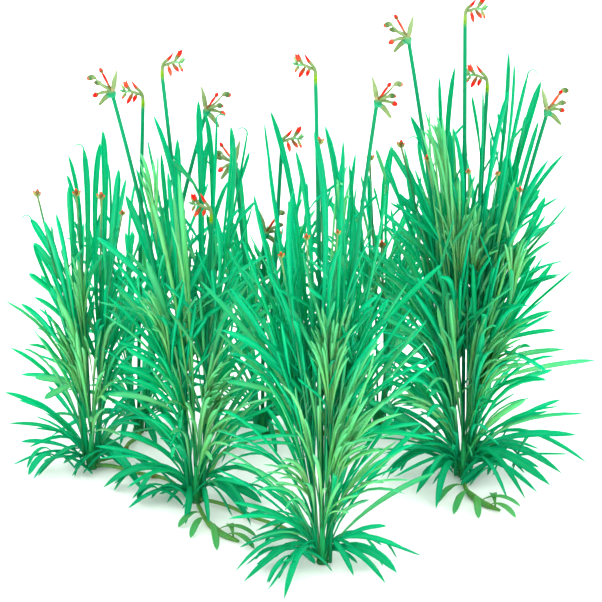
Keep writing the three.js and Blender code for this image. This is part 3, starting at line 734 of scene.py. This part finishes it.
def mixed(tree, share, a, b):
    """A colour from a node mixed by a share towards another, which is from a node too or an sRGB colour."""
    made = tree.nodes.new("ShaderNodeMix")
    made.data_type = "RGBA"
    factor, colour_a, colour_b = (made.inputs[i] for i in (0, 6, 7))
    tree.links.new(share, factor)
    tree.links.new(a, colour_a)
    if isinstance(b, tuple):
        colour_b.default_value = (*linear(b), 1)
    else:
        tree.links.new(b, colour_b)
    return made.outputs[2]


def surface(tree, shader, colour, roughness, heights, distance):
    """Gives a shader its colour, its roughness and fine bumps."""
    bump = tree.nodes.new("ShaderNodeBump")
    bump.inputs["Distance"].default_value = distance
    bump.inputs["Strength"].default_value = 0.6
    tree.links.new(heights, bump.inputs["Height"])
    tree.links.new(colour, shader.inputs["Base Color"])
    tree.links.new(roughness, shader.inputs["Roughness"])
    tree.links.new(bump.outputs["Normal"], shader.inputs["Normal"])


def height_share(tree, top):
    """The height above the ground as a share of a top height in metres."""
    parts = tree.nodes.new("ShaderNodeSeparateXYZ")
    tree.links.new(own_place(tree), parts.inputs[0])
    return math_node(tree, "DIVIDE", parts.outputs["Z"], top)


MIDRIB = (130, 228, 170)
# Painted shade: a deep green that darkens both edges of each blade, standing in for the shading of its
# rounded section
BLADE_EDGE_SHADE = (0, 108, 60)
HIGH_UP = (0, 130, 86)
BLADE_SOCKETS = {
    "Specular IOR Level": 0.04,
    "Subsurface Weight": 0.6,
    "Subsurface Radius": (0.3, 1, 0.6),
    "Subsurface Scale": 0.001,
}


def leaf_material(name, tones, foot, tip, ground, foot_share, edge_shade_share, high_share):
    """Blades: a tone for each leaf, darker at the foot, with veins, a pale midrib, painted shade along both
    edges, mottling and gloss.
    """
    material, tree, shader = new_material(name)
    along = attribute(tree, "along")
    across = attribute(tree, "across")
    shade = attribute(tree, "shade")
    mottle = noise(tree, 110, 5, (1, 1, 0.3))
    broad = noise(tree, 16, 3)
    side = math_node(tree, "ABSOLUTE", across)
    veins = math_node(tree, "SINE", math_node(tree, "MULTIPLY", across, 26))
    tone_at = math_node(tree, "ADD", shade, math_node(tree, "MULTIPLY_ADD", broad, 0.7, -0.35))
    colour = ramp(tree, tone_at, tones)
    layers = [
        (ramp(tree, along, foot_share), foot),
        (ramp(tree, along, [(0.5, 0), (0.8, 0.5), (1, 0.75)]), tip),
        (ramp(tree, side, [(0, 0.14), (0.12, 0.08), (0.3, 0)]), MIDRIB),
        # painted shade along both edges of the blade
        (ramp(tree, side, [(0.5, 0), (1, edge_shade_share)]), BLADE_EDGE_SHADE),
        (math_node(tree, "MULTIPLY_ADD", veins, 0.05, 0.05), foot),
        (ramp(tree, mottle, [(0.42, 0), (0.72, 0.4)]), tip),
        (ramp(tree, height_share(tree, 0.3), [(0.35, 0), (0.9, high_share)]), HIGH_UP),
        (ramp(tree, height_share(tree, 0.1), [(0, 0.7), (0.2, 0.45), (0.55, 0)]), ground),
    ]
    for share, layer in layers:
        colour = mixed(tree, share, colour, layer)
    for socket, value in BLADE_SOCKETS.items():
        shader.inputs[socket].default_value = value
    rough = math_node(tree, "MULTIPLY_ADD", mottle, 0.3, 0.28)
    surface(tree, shader, colour, rough, math_node(tree, "MULTIPLY_ADD", veins, 0.3, mottle), 0.00012)
    return material


leaf_green = leaf_material(
    "leaf_green",
    [
        (0.0, (0, 168, 96)), (0.2, (0, 180, 112)), (0.42, (0, 184, 128)), (0.58, (0, 186, 134)),
        (0.74, (56, 178, 116)), (0.88, (100, 188, 120)), (1.0, (130, 198, 134)),
    ],
    foot=(0, 164, 98), tip=(0, 174, 118), ground=(6, 122, 80),
    foot_share=[(0, 0.7), (0.16, 0.4), (0.42, 0)],
    # edge share: how far the painted shade darkens the blade edges
    edge_shade_share=0.6, high_share=0.8,
)
young_green = leaf_material(
    "young_green",
    [(0.0, (84, 172, 88)), (0.35, (104, 182, 96)), (0.7, (122, 190, 106)), (1.0, (138, 202, 126))],
    foot=(0, 144, 78), tip=(84, 194, 132), ground=(0, 124, 62),
    foot_share=[(0, 1), (0.2, 0.8), (0.44, 0.15), (0.56, 0)],
    # edge share: how far the painted shade darkens the blade edges
    edge_shade_share=0.35, high_share=0.2,
)
runner_green = leaf_material(
    "runner_green",
    [(0.0, (0, 158, 98)), (0.5, (74, 166, 92)), (1.0, (104, 172, 92))],
    foot=(92, 140, 62), tip=(0, 184, 130), ground=(72, 122, 50),
    foot_share=[(0, 0.9), (0.16, 0.6), (0.42, 0)],
    # edge share: how far the painted shade darkens the blade edges
    edge_shade_share=0.5, high_share=0,
)


def toned_material(name, spread, bump, rough, pale, stretch=(1, 1, 1)):
    """Stems, heads, burs and crowns: the tone of each point, with streaks, specks and a rough grain."""
    material, tree, shader = new_material(name)
    grain = noise(tree, 420, 5, stretch)
    broad = noise(tree, 60, 3, stretch)
    colour = attribute(tree, "tone", "Color")
    colour = mixed(tree, ramp(tree, grain, [(0.4, 0), (0.8, spread)]), colour, (30, 84, 30))
    colour = mixed(tree, ramp(tree, broad, [(0.45, 0), (0.8, spread)]), colour, pale)
    shader.inputs["Specular IOR Level"].default_value = 0.08
    surface(tree, shader, colour, math_node(tree, "MULTIPLY_ADD", grain, 0.35, rough), grain, bump)
    return material


stem_skin = toned_material("stem_skin", 0.3, 0.0001, 0.3, (0, 190, 134), (1, 1, 0.12))
head_skin = toned_material("head_skin", 0.3, 0.00012, 0.45, (176, 200, 144))
crown_skin = toned_material("crown_skin", 0.45, 0.0002, 0.55, (60, 170, 100))

OLIVE = (108, 134, 80)
PALE_OLIVE = (120, 146, 96)
DARK_OLIVE = (60, 94, 48)
NECK = (112, 158, 14)
TEAL = (0, 128, 82)
DEEP_TEAL = (0, 104, 54)
MINT = (34, 166, 116)
BROWN = (104, 70, 26)
RED = (232, 14, 14)
DARK_RED = (160, 40, 22)
STRAW = (136, 144, 74)
# The darkest green, at the ground: crowns and foot scales are darker towards the ground
DARK_FOOT_GREEN = (24, 84, 40)


def blend(stops, t):
    """Linear colours at shares t of a length, from (share, sRGB colour) stops."""
    rows = np.array([linear(colour) for _, colour in stops])
    return np.stack([np.interp(t, [share for share, _ in stops], rows[:, i]) for i in range(3)], axis=1)


# Leaves: the solids' own, on their shoots
def hook(piece, leaf):
    """The thin bent-over end of a blunt leaf."""
    tip = leaf["path"][3]
    way = [(0, -2.4), (0.1, 0), (1.2, 1.7), (3.0, 2.3), (4.7, 1.2), (5.8, -1.0)]
    t = np.linspace(0, 1, 14)
    line = smooth([tip + vec(leaf["hook"] * x, 0, z) for x, z in way], t)
    radii = np.interp(t, [0, 0.3, 0.8, 1], [0.55, 0.42, 0.34, 0.12])
    tube(piece, line, radii, 6, [(0.95, 0.5, 0.6)] * 14)


def sheath(piece, tuft, shoot):
    """The round foot that a shoot's leaves grow from, close to the other feet at the ground."""
    heights = np.linspace(SOCKET_FLOOR + GAP, shoot["height"], 9)
    x, y = (c * 0.7 for c in shoot["at"])
    inward = np.interp(heights, [0, 14], [1, 0])
    line = [on_shoot(tuft, shoot, z) - vec(x, y, 0) * near for z, near in zip(heights, inward)]
    places = [0, 12, 0.9 * shoot["height"], shoot["height"]]
    radii = np.interp(heights, places, [0.9, *shoot["radii"], 0.1])
    tube(piece, line, radii * 0.95, 10, [(0.02, 0.4, 0.1)] * 9)


for (tuft, shoot), grown in leaves.items():
    name = f"leaves_{tuft}_{shoot}"
    piece = Piece("fine_" + name)
    sheath(piece, tuft, SHOOTS[shoot])
    for leaf in grown:
        blade(piece, leaf, LEAF_STEPS, bool(leaf["hook"]))
        if leaf["hook"]:
            hook(piece, leaf)
    young = shoot == "young"
    piece.build(young_green if young else leaf_green, "young_leaf" if young else "leaf", [name])


# Leaves and burs that the solids leave out, in the same space
low_corner, high_corner = (np.array(corner) * 1000 - SHIFT for corner in cad_box)
bur_spots = [(bur[0], seen_at(*bur, -BUR_NEARER * TUFTS[bur[0]][2])) for bur in MORE_BURS]
# Places that are kept clear in front: the middle of each head and bur, and how far round it
clear = [(path[3] + vec(5 * facing, 0, 6), 9) for _, _, facing, path, _ in culms]
clear += [(path[3] + vec(0, 0, 3), 4) for _, path, _ in bur_lines]
clear += [(place + vec(0, 0, 2), 5) for _, place in bur_spots]


def as_seen(points):
    """Places from the front: across, up and away."""
    x, y, z = np.asarray(points).T
    level, steep = math.cos(VIEW_TILT), math.sin(VIEW_TILT)
    return np.stack([x, z * level + y * steep, y * level - z * steep], axis=-1)


clear_places, clear_radii = zip(*clear)
clear_seen = as_seen(clear_places)


def hides_head(points):
    away = as_seen(points)[:, None] - clear_seen
    near = np.hypot(away[..., 0], away[..., 1]) < clear_radii
    return (near & (away[..., 2] < 0)).any()


def fits(leaf):
    """Whether a leaf lies in the solids' box and above the ground, and hides no head."""
    points = bezier(leaf["path"], np.linspace(0, 1, 11))
    inside = (points > low_corner + 0.5).all() and (points < high_corner - 0.5).all()
    return inside and points[:, 2].min() > TIP_ABOVE_GROUND and not hides_head(points)


def until_it_fits(make):
    """Lets a function draw its leaf again until the leaf fits."""

    def grow(*place):
        while True:
            leaf = make(*place)
            if leaf and fits(leaf):
                return leaf

    return grow


def either_way(*limits):
    return [between(-limit, limit) for limit in limits]


@until_it_fits
def added_leaf(tuft, shoot, kind):
    """A leaf from a shoot, as the source's own."""
    *shares, widths = ADDED[kind]
    tip, arch = fill_tip(tuft, shoot, *shares, look.random)
    root = root_on_shoot(tuft, shoot, tip, look.random())
    drift = either_way(ADDED_DRIFT, ADDED_DRIFT)
    path = leaf_path(root, tip, arch, between(0.3, 0.65), drift)
    return leaf_of(kind, path, either_way(1, 0.6), between(*widths), between(0, PALEST[kind]))


@until_it_fits
def fan_leaf(tuft, root, foot, middle, half):
    """A pale leaf of a fan."""
    spread = TUFTS[tuft][2]
    across = middle[0] + half * between(-1.1, 1.1)
    up = middle[1] + between(-0.3, 0.35) * (middle[1] - foot[1])
    tip = seen_at(tuft, across, up, -spread * between(0.25, 0.7))
    path = leaf_path(root, tip, between(0, 0.09), between(0.25, 0.55), (0, 0))
    return leaf_of(
        "young", path, either_way(0.5, 0.5), between(0.34, 0.62), between(0.3, 1),
        widest=0.45, age=0.2, across=vec(1, 0, 0),
    )


@until_it_fits
def young_leaf(carrier):
    """A pale leaf beside a young leaf that the solids have, nearer the front."""
    root = bezier(carrier, [between(0.05, 0.5)])[0]
    nearer = between(0, 16)
    up = between(-34, 8) * min(1, carrier[3][2] / 100)
    tip = carrier[3] + vec(between(-11, 11), -nearer, up + nearer * math.tan(VIEW_TILT))
    path = leaf_path(root, tip, between(0, 0.07), between(0.3, 0.6), (0, 0))
    return leaf_of("young", path, either_way(0.8, 0.6), between(0.4, 0.75), look.random(), age=0.12)


@until_it_fits
def ground_side_leaf(carrier):
    """A short arched leaf from part of the way out on a ground leaf."""
    root = bezier(carrier, [between(0.35, 0.75)])[0]
    reach = look.choice([-1, 1]) * between(11, 24)
    tip = vec(root[0] + reach, root[1] + between(-9, 7), between(1.1, 2.2))
    lift = vec(0, 0, between(5, 10))
    path = [root, mix(root, tip, 0.25) + lift * 0.7, mix(root, tip, 0.7) + lift, tip]
    return leaf_of(
        "low", path, either_way(0.9, 0.4), between(0.7, 1.05), between(0, PALEST["low"]), widest=0.6, age=0.2
    )


@until_it_fits
def side_leaf(tuft, path, low, high, leans, lengths, below):
    """A leaf from part of the way up an upright leaf or a stem, which it hugs before it leans out."""
    (x, y), height, spread = TUFTS[tuft]
    at = [between(low, high)]
    root = bezier(path, at)[0]
    turn = math.atan2(root[1] - y, root[0] - x) + between(-2.8, 2.8)
    lean = math.radians(between(*leans))
    length = between(*lengths)
    out = vec(math.sin(lean) * math.cos(turn), math.sin(lean) * math.sin(turn), math.cos(lean))
    tip = root + out * length
    droop = vec(0, 0, between(0.02, 0.12) * length)
    leaf = leaf_of(
        "middle",
        [root, root + bezier_way(path, at)[0] * 0.3 * length, mix(root, tip, 0.66) + droop, tip],
        either_way(1.2, 0.8), between(0.45, 0.95), widest=between(0.5, 0.7), shade=look.random(), age=0.35,
    )
    near = tip[2] < below * height and math.hypot(tip[0] - x, tip[1] - y) < 1.1 * spread
    return leaf if near else None


for tuft, numbers in ADDED_COUNTS.items():
    counts = dict(zip(COUNTED, numbers))
    green = Piece("more_leaves_" + tuft)
    pale = Piece("more_young_leaves_" + tuft)
    own = [leaf for (grower, _), grown in leaves.items() if grower == tuft for leaf in grown]
    uprights = [leaf["path"] for leaf in own if leaf["upright"]]
    grounded = [leaf["path"] for leaf in own if leaf["path"][3][2] < GROUND_LEAF_BELOW]
    for kind in ADDED:
        for i in range(counts[kind]):
            leaf = added_leaf(tuft, ("left", "right")[i % 2], kind)
            blade(green, leaf)
            if kind == "tall":
                uprights.append(leaf["path"])
    for _ in range(counts["ground"]):
        blade(green, ground_side_leaf(look.choice(grounded)))
    for _ in range(counts["upper"]):
        leaf = side_leaf(tuft, look.choice(uprights), *SIDE_LEAVES["upper"])
        leaf["width"] *= UPPER_WIDTH
        blade(green, leaf)
    points = np.concatenate([bezier(path, np.linspace(0.05, 0.8, 16)) for path in uprights])
    for foot, middle, half, count in PALE_FANS.get(tuft, []):
        wanted = seen_at(tuft, *foot, -FAN_FOOT_NEARER * TUFTS[tuft][2])
        root = min(points, key=lambda point: np.linalg.norm(point - wanted))
        for _ in range(count):
            blade(pale, fan_leaf(tuft, root, foot, middle, half))
    for _ in range(counts["young"]):
        carrier = look.choice(leaves[tuft, "young"])["path"]
        blade(pale, young_leaf(carrier))
    for _ in range(counts["side"]):
        blade(green, side_leaf(tuft, look.choice(uprights), *SIDE_LEAVES["side"]))
    for name, _, _, path, _ in culms:
        for _ in range(CULM_LEAVES if name.startswith(tuft + "_") else 0):
            blade(green, side_leaf(tuft, path, *SIDE_LEAVES["culm"]))
    green.build(leaf_green, "leaf")
    if pale.count:
        pale.build(young_green, "young_leaf")


# Heads, as rods: line (out to the side that the head faces, up, aside), radii and colours along it
HEADS = {
    "comb": [
        ([(0, 0), (0.1, 3.9), (0.9, 6.9), (3.8, 9.9, -0.6), (6.3, 13.9, -1.2)], [0.9, 0.8, 0.7, 0.75, 0.1],
         [(0.16, NECK), (0.24, OLIVE), (0.68, OLIVE), (0.74, DARK_RED), (0.8, RED)]),
        ([(0.5, 5), (3.4, 6.6), (6.7, 7.7), (12.2, 7.2)], [0.5, 0.65, 0.65, 0.1],
         [(0, OLIVE), (0.6, PALE_OLIVE), (0.8, (96, 196, 130)), (1, MINT)]),
        ([(6.2, 7.5), (9.0, 12.0, 1.2), (10.5, 14.5, 1.8)], [0.4, 1.05, 0.1],
         [(0.3, OLIVE), (0.38, BROWN), (0.48, RED)]),
        ([(8.0, 10.2, 0.8), (8.8, 12.6, 0.6), (8.6, 14.6, 0.2)], [0.3, 0.6, 0.1], [(1, RED)]),
        ([(9.0, 7.5), (10.6, 9.8, -0.8), (11.8, 11.7, -1.4)], [0.35, 0.6, 0.1],
         [(0, OLIVE), (0.6, (130, 196, 120)), (1, OLIVE)]),
        ([(9.6, 7.6), (11.0, 8.6, 0.8), (12.6, 9.2, 1.4)], [0.3, 0.5, 0.1], [(0, OLIVE), (1, MINT)]),
        ([(3.0, 6.4), (4.3, 2.9, -1.4), (5.0, 0.4, -2.0)], [0.35, 0.9, 0.3], [(0.12, OLIVE), (0.24, RED)]),
        ([(5.2, 7.2), (7.3, 3.6, 1.4), (8.5, 1.3, 2.0)], [0.35, 0.95, 0.3],
         [(0, OLIVE), (0.14, BROWN), (0.42, DARK_RED), (0.52, RED)]),
        ([(8.6, 7.5), (10.2, 4.6, -0.8), (10.9, 2.8, -1.2)], [0.3, 0.7, 0.3],
         [(0, OLIVE), (0.45, STRAW), (0.6, RED)]),
    ],
    "fan": [
        ([(0, 0), (0.3, 1.4), (0.8, 2.8), (1.2, 4.7)], [0.9, 1.4, 1.85, 0.9],
         [(0, TEAL), (0.3, MINT), (0.75, TEAL), (1, OLIVE)]),
        ([(0.5, 3.4), (-0.1, 6.4, 0.2), (-0.9, 11.0, 0.5), (-2.5, 17.6, 0.8)], [0.7, 1.05, 1.0, 0.1],
         [(0, (176, 128, 92)), (0.2, (158, 142, 100)), (0.36, OLIVE), (0.8, PALE_OLIVE), (1, OLIVE)]),
        ([(0.8, 1.4), (3.9, 0.0, -0.5), (8.2, -5.6, -1.0)], [0.9, 1.15, 0.6],
         [(0, TEAL), (0.24, MINT), (0.42, OLIVE)]),
        ([(1.0, 4.0), (3.0, 7.3, -0.8), (4.9, 10.5, -1.6), (6.7, 13.4, -2.2)], [0.75, 0.5, 0.6, 0.4],
         [(0.34, BROWN), (0.4, RED), (0.52, RED), (0.56, DARK_RED), (0.6, RED), (0.78, RED), (0.82, DARK_RED),
          (0.86, RED)]),
        ([(6.4, 13.0, -2.2), (7.2, 14.3, -2.5), (8.0, 15.7, -2.8)], [0.4, 0.9, 0.4],
         [(0, OLIVE), (0.3, BROWN), (0.5, DARK_RED), (0.7, RED)]),
        ([(1.8, 4.2), (4.4, 6.6, 1.2), (7.0, 9.2, 2.2), (9.4, 12.3, 3.1)], [0.7, 0.5, 0.4, 0.3],
         [(0, OLIVE), (1, PALE_OLIVE)]),
        ([(8.9, 12.0, 3.0), (10.7, 12.7, 3.3), (12.6, 12.1, 3.7), (13.6, 11.6, 3.9)], [0.5, 1.2, 1.1, 0.5],
         [(0.3, OLIVE), (0.42, DARK_OLIVE), (0.66, DARK_OLIVE), (0.74, RED)]),
        ([(1.2, 4.2), (4.2, 5.7, -0.4), (7.0, 6.9, -0.8)], [0.65, 0.8, 0.6], [(0, OLIVE), (1, PALE_OLIVE)]),
        ([(6.4, 6.7, -0.8), (8.4, 7.5, -1.1), (10.9, 7.4, -1.5)], [0.5, 1.2, 0.5],
         [(0, PALE_OLIVE), (0.4, OLIVE), (0.56, DARK_OLIVE), (0.84, DARK_OLIVE), (0.92, DARK_RED), (1, RED)]),
        ([(1.2, 3.2), (4.8, 3.3, 0.8), (8.2, 2.3, 1.5)], [0.6, 0.75, 0.5], [(1, OLIVE)]),
        ([(7.8, 2.5, 1.4), (9.3, 1.7, 1.8), (11.0, 0.8, 2.2)], [0.5, 1.15, 0.5],
         [(0, OLIVE), (0.24, BROWN), (0.36, RED)]),
    ],
}


HEAD_SCALE = {"comb": 1.06, "fan": 1.03}
HEAD_THICKNESS = {"comb": 1.28, "fan": 1.32}
SCALE_RADII = [0.15, 0.3, 0.36, 0.36, 0.3, 0.22, 0.12, 0.04]
CULM_RADII = [1.05, 1.2, 1.1]  # at the foot, at two thirds and at the top
CULM_JOINTS = (8, 15)  # of its 30 rings
JOINT_SWELL = 1.25


def head_points(foot, facing, turn, places, scale):
    out = scale * vec(facing * math.cos(turn), facing * math.sin(turn), 0)
    up = vec(0, 0, scale)
    aside = np.cross(up, out) / scale
    return [foot + out * p[0] + up * p[1] + aside * (p[2] if len(p) > 2 else 0) for p in places]


def head_rod(piece, points, radii, stops):
    """A smooth rod with a round end."""
    t = to_tip(17)
    thickness = np.maximum(smooth([[r] for r in radii], t)[:, 0], 0.1)
    thickness *= np.sqrt(np.clip((1.02 - t) / 0.07, 0.03, 1))
    tube(piece, smooth(points, t), thickness, 9, blend(stops, t))


def scales(piece, points, radius):
    """Two small scales that hug the lower half of a spikelet."""
    a, b = points[0], points[-1]
    aside = unit(np.cross(b - a, vec(0.3, 1, 0.2))) * radius
    t = to_tip(len(SCALE_RADII))
    for lean in (-1, 1):
        line = [mix(a, b, 0.12), mix(a, b, 0.35) + aside * lean, mix(a, b, 0.6) + aside * lean * 0.9]
        tube(piece, smooth(line, t), SCALE_RADII, 6, blend([(0, OLIVE), (1, PALE_OLIVE)], t))


for name, head, facing, path, turn in culms:
    stem = Piece("fine_culm_" + name)
    t = to_tip(30)
    radii = np.interp(t, [0, 0.67, 1], CULM_RADII)
    for joint in CULM_JOINTS:
        radii[joint] *= JOINT_SWELL
    neck = NECK if head == "comb" else TEAL
    tube(stem, bezier(path, t), radii, 10, blend([(0, DEEP_TEAL), (0.3, TEAL), (0.99, TEAL), (1, neck)], t))
    stem.build(stem_skin, "flower_stem", ["culm_" + name], colours=True)
    crest = Piece(f"fine_{head}_head_{name}")
    foot = path[3] + vec(0, 0, GAP + 0.05)
    for i, (line, radii, stops) in enumerate(HEADS[head]):
        points = head_points(foot, facing, turn, line, HEAD_SCALE[head])
        if i == 0:
            points[0] = path[3]
        head_rod(crest, points, np.array(radii) * HEAD_THICKNESS[head], stops)
        if i > 1 and head == "comb":
            scales(crest, points, max(radii) * 0.8)
    crest.build(head_skin, "flower_head", [f"{head}_head_{name}"], colours=True)

# A bur's spikelets: their tips from its foot, their radii and tones
BURS = [((0, 0, BUR_HEIGHT), 1.35, BROWN), ((2.6, 0.6, 3.1), 1.2, STRAW), ((-1.9, -0.7, 2.9), 1.0, OLIVE)]
BUR_STEM_RADIUS = 0.65


def bur_on_stem(bur, path, aside, size=1):
    t = np.linspace(0, 1, 22)
    stops = [(0, DEEP_TEAL), (0.3, TEAL), (0.9, TEAL), (1, OLIVE)]
    tube(bur, bezier(path, t), np.full(22, BUR_STEM_RADIUS * size), 7, blend(stops, t))
    for place, radius, tone in BURS:
        foot = path[3] - vec(0, 0, 0.3)
        tip = path[3] + vec(place[0] * aside, place[1], place[2]) * size
        stops = [(0, OLIVE), (0.3, tone), (0.75, tone), (0.85, RED)]
        head_rod(bur, [foot, mix(foot, tip, 0.5), tip], np.array([0.5, radius, 0.2]) * size, stops)


for name, path, aside in bur_lines:
    bur = Piece("fine_" + name)
    bur_on_stem(bur, path, aside)
    bur.build(head_skin, "bur", [name], colours=True)
more_burs = Piece("more_burs")
for tuft, place in bur_spots:
    foot = on_crown(tuft, (between(-2, 2), -1), 3)
    bur_on_stem(more_burs, stem_path(foot, place), look.choice([-1, 1]), between(0.6, 0.85))
more_burs.build(head_skin, "bur", colours=True)


# Crowns, creeping stems and creeping shoots
CROWN_PROFILE = [(0, 3.1), (0.5, 3.5), (1.2, 3.4), (2.2, 2.8), (3.2, 2.2), (4.15, 1.5)]
CROWN_SIDES = 24
FOOT_SCALES = 18
RUNNER_RADII = [1.15, 1.3, 2, 1.7, 0.8]


def crown(piece, tuft):
    turns = 2 * np.pi * np.arange(CROWN_SIDES) / CROWN_SIDES
    rings = []
    for z, radius in CROWN_PROFILE:
        wavy = radius * (1 + 0.05 * np.sin(5 * turns + z) + 0.03 * np.sin(11 * turns - 2 * z))
        rings.append([on_crown(tuft, (r * math.cos(a), r * math.sin(a)), z) for r, a in zip(wavy, turns)])
    # darker towards the ground
    shades = blend([(0, DARK_FOOT_GREEN), (1, DEEP_TEAL)], np.linspace(0, 1, len(rings)))
    piece.rings(rings, np.repeat(shades[:, None], CROWN_SIDES, axis=1))


def foot_scales(piece, tuft):
    """Short sheaths from the crown round the feet of the shoots."""
    t = to_tip(8)
    radii = np.interp(t, [0, 0.3, 1], [0.7, 0.95, 0.08])
    for i in range(FOOT_SCALES):
        turn = 2 * math.pi * (i + between(-0.3, 0.3)) / FOOT_SCALES
        way = vec(math.cos(turn), math.sin(turn), 0)
        root = on_crown(tuft, way[:2] * between(1.1, 2.3), 0.9)
        height = between(8, 20)
        tip = on_crown(tuft, way[:2] * between(2.2, 5.6), height)
        line = [root, mix(root, tip, 0.45) - way * 0.3, tip]
        top = look.choice([DEEP_TEAL, TEAL, (40, 140, 72)])
        # darker towards the ground
        stops = [(0, DARK_FOOT_GREEN), (0.35, (0, 116, 56)), (1, top)]
        tube(piece, smooth(line, t), radii, 7, blend(stops, t))


def stolon_line(start, end, bend):
    a, b = on_crown(start, (0, 0), 1.8), on_crown(end, (0, 0), 1.8)
    way = b - a
    length = np.linalg.norm(way)
    aside = vec(-way[1], way[0], 0) / length
    joints = round(length / STOLON_JOINT_EVERY)
    t = np.linspace(0, 1, 12 * joints + 1)
    swing = bend * np.sin(np.pi * t) + 1.6 * np.sin(4 * np.pi * t)
    line = a + way * t[:, None] + aside * swing[:, None]
    near = np.abs(t * joints - np.round(t * joints)) * STOLON_JOINT_EVERY
    swell = np.clip(1 - near / 3.2, 0, 1)
    return line, mix(STOLON_RADIUS, STOLON_JOINT_RADIUS, swell) * 0.97, swell


mat = Piece("fine_creeping_stems")
for tuft in TUFTS:
    crown(mat, tuft)
    foot_scales(mat, tuft)
for stolon in STOLONS:
    line, radii, swell = stolon_line(*stolon)
    tube(mat, line, radii, 10, blend([(0, (96, 146, 70)), (1, BROWN)], swell))
mat.build(crown_skin, "creeping_stem", ["creeping_stems"], colours=True)


def runner_leaf(root, tip):
    way = tip - root
    lift = vec(0, 0, 0.28 * np.linalg.norm(way))
    path = [root, root + way * 0.3 + lift, root + way * 0.7 + lift, tip]
    return leaf_of("runner", path, (0, 0), 1, look.random())


def nearest(points, place):
    """The point on a bent line that is nearest to a place."""
    feet = []
    for a, b in zip(points, points[1:]):
        share = np.clip((place - a).dot(b - a) / (b - a).dot(b - a), 0, 1)
        feet.append(a + (b - a) * share)
    return min(feet, key=lambda foot: np.linalg.norm(foot - place))


for tuft, (stem, tips) in RUNNERS.items():
    runner = Piece("fine_runner_" + tuft)
    points = [on_crown(tuft, place, 1.5) for place in stem]
    t = np.linspace(0, 1, 19)
    radii = np.interp(t, [0, 0.3, 0.5, 0.8, 1], RUNNER_RADII)
    tube(runner, smooth(points, t), radii, 9, [(0.05, 0.5, 0.9)] * 19)
    for i, place in enumerate(tips):
        root = nearest(points, mix(points[0], points[3], 0.22 + 0.14 * i))
        blade(runner, runner_leaf(root, on_crown(tuft, place, TIP_ABOVE_GROUND)), LEAF_STEPS)
    runner.build(runner_green, "creeping_stem", ["runner_" + tuft])

# Floor, light and camera
FLOOR_DEPTH = 0.0004
WORLD_STRENGTH = 2.4
MM_PER_PIXEL = 0.56
PICTURE_PIXELS = 602
SENSOR_WIDTH = 36
LENS = 600
AIM_HEIGHT = 0.124
LAMP_AIM_HEIGHT = 0.12
bpy.ops.mesh.primitive_plane_add(size=6, location=(0, 0, -FLOOR_DEPTH))
floor = bpy.context.object
floor.name = "floor"
material, tree, shader = new_material("floor_paint")
paint = ramp(tree, noise(tree, 3), [(0.3, (252, 252, 252)), (0.8, (247, 248, 247))])
tree.links.new(paint, shader.inputs["Base Color"])
shader.inputs["Roughness"].default_value = 0.9
floor.data.materials.append(material)
floor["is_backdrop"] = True

world = bpy.data.worlds.new("soft_sky")
world.use_nodes = True
sky = world.node_tree.nodes["Background"].inputs
sky["Color"].default_value = (1, 1, 1, 1)
sky["Strength"].default_value = WORLD_STRENGTH
bpy.context.scene.world = world


def placed(name, data, place, way):
    """A lamp or the camera at a place, turned to look a way."""
    item = linked(name, data)
    item.location = place
    item.rotation_euler = way.to_track_quat("-Z", "Y").to_euler()
    return item


def area_light(name, place, size, watts):
    lamp = bpy.data.lights.new(name, "AREA")
    lamp.shape = "DISK"
    lamp.size = size
    lamp.energy = watts
    placed(name, lamp, place, Vector((0, 0, LAMP_AIM_HEIGHT)) - Vector(place))


area_light("key_light", (-0.7, -1.1, 1.5), 0.9, 3)
area_light("fill_light", (1.2, -0.8, 0.9), 1.2, 2.5)

camera_data = bpy.data.cameras.new("camera")
camera_data.lens = LENS
aim = Vector((SHIFT[0] / 1000, SHIFT[1] / 1000, AIM_HEIGHT))
back = Vector((0, -math.cos(VIEW_TILT), math.sin(VIEW_TILT)))
distance = MM_PER_PIXEL * PICTURE_PIXELS / 1000 * LENS / SENSOR_WIDTH
camera = placed("camera", camera_data, aim + back * distance, -back)
bpy.context.scene.camera = camera
bpy.context.scene.view_settings.view_transform = "Standard"

[[list(corner) for corner in box] for box in (cad_box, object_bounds())]
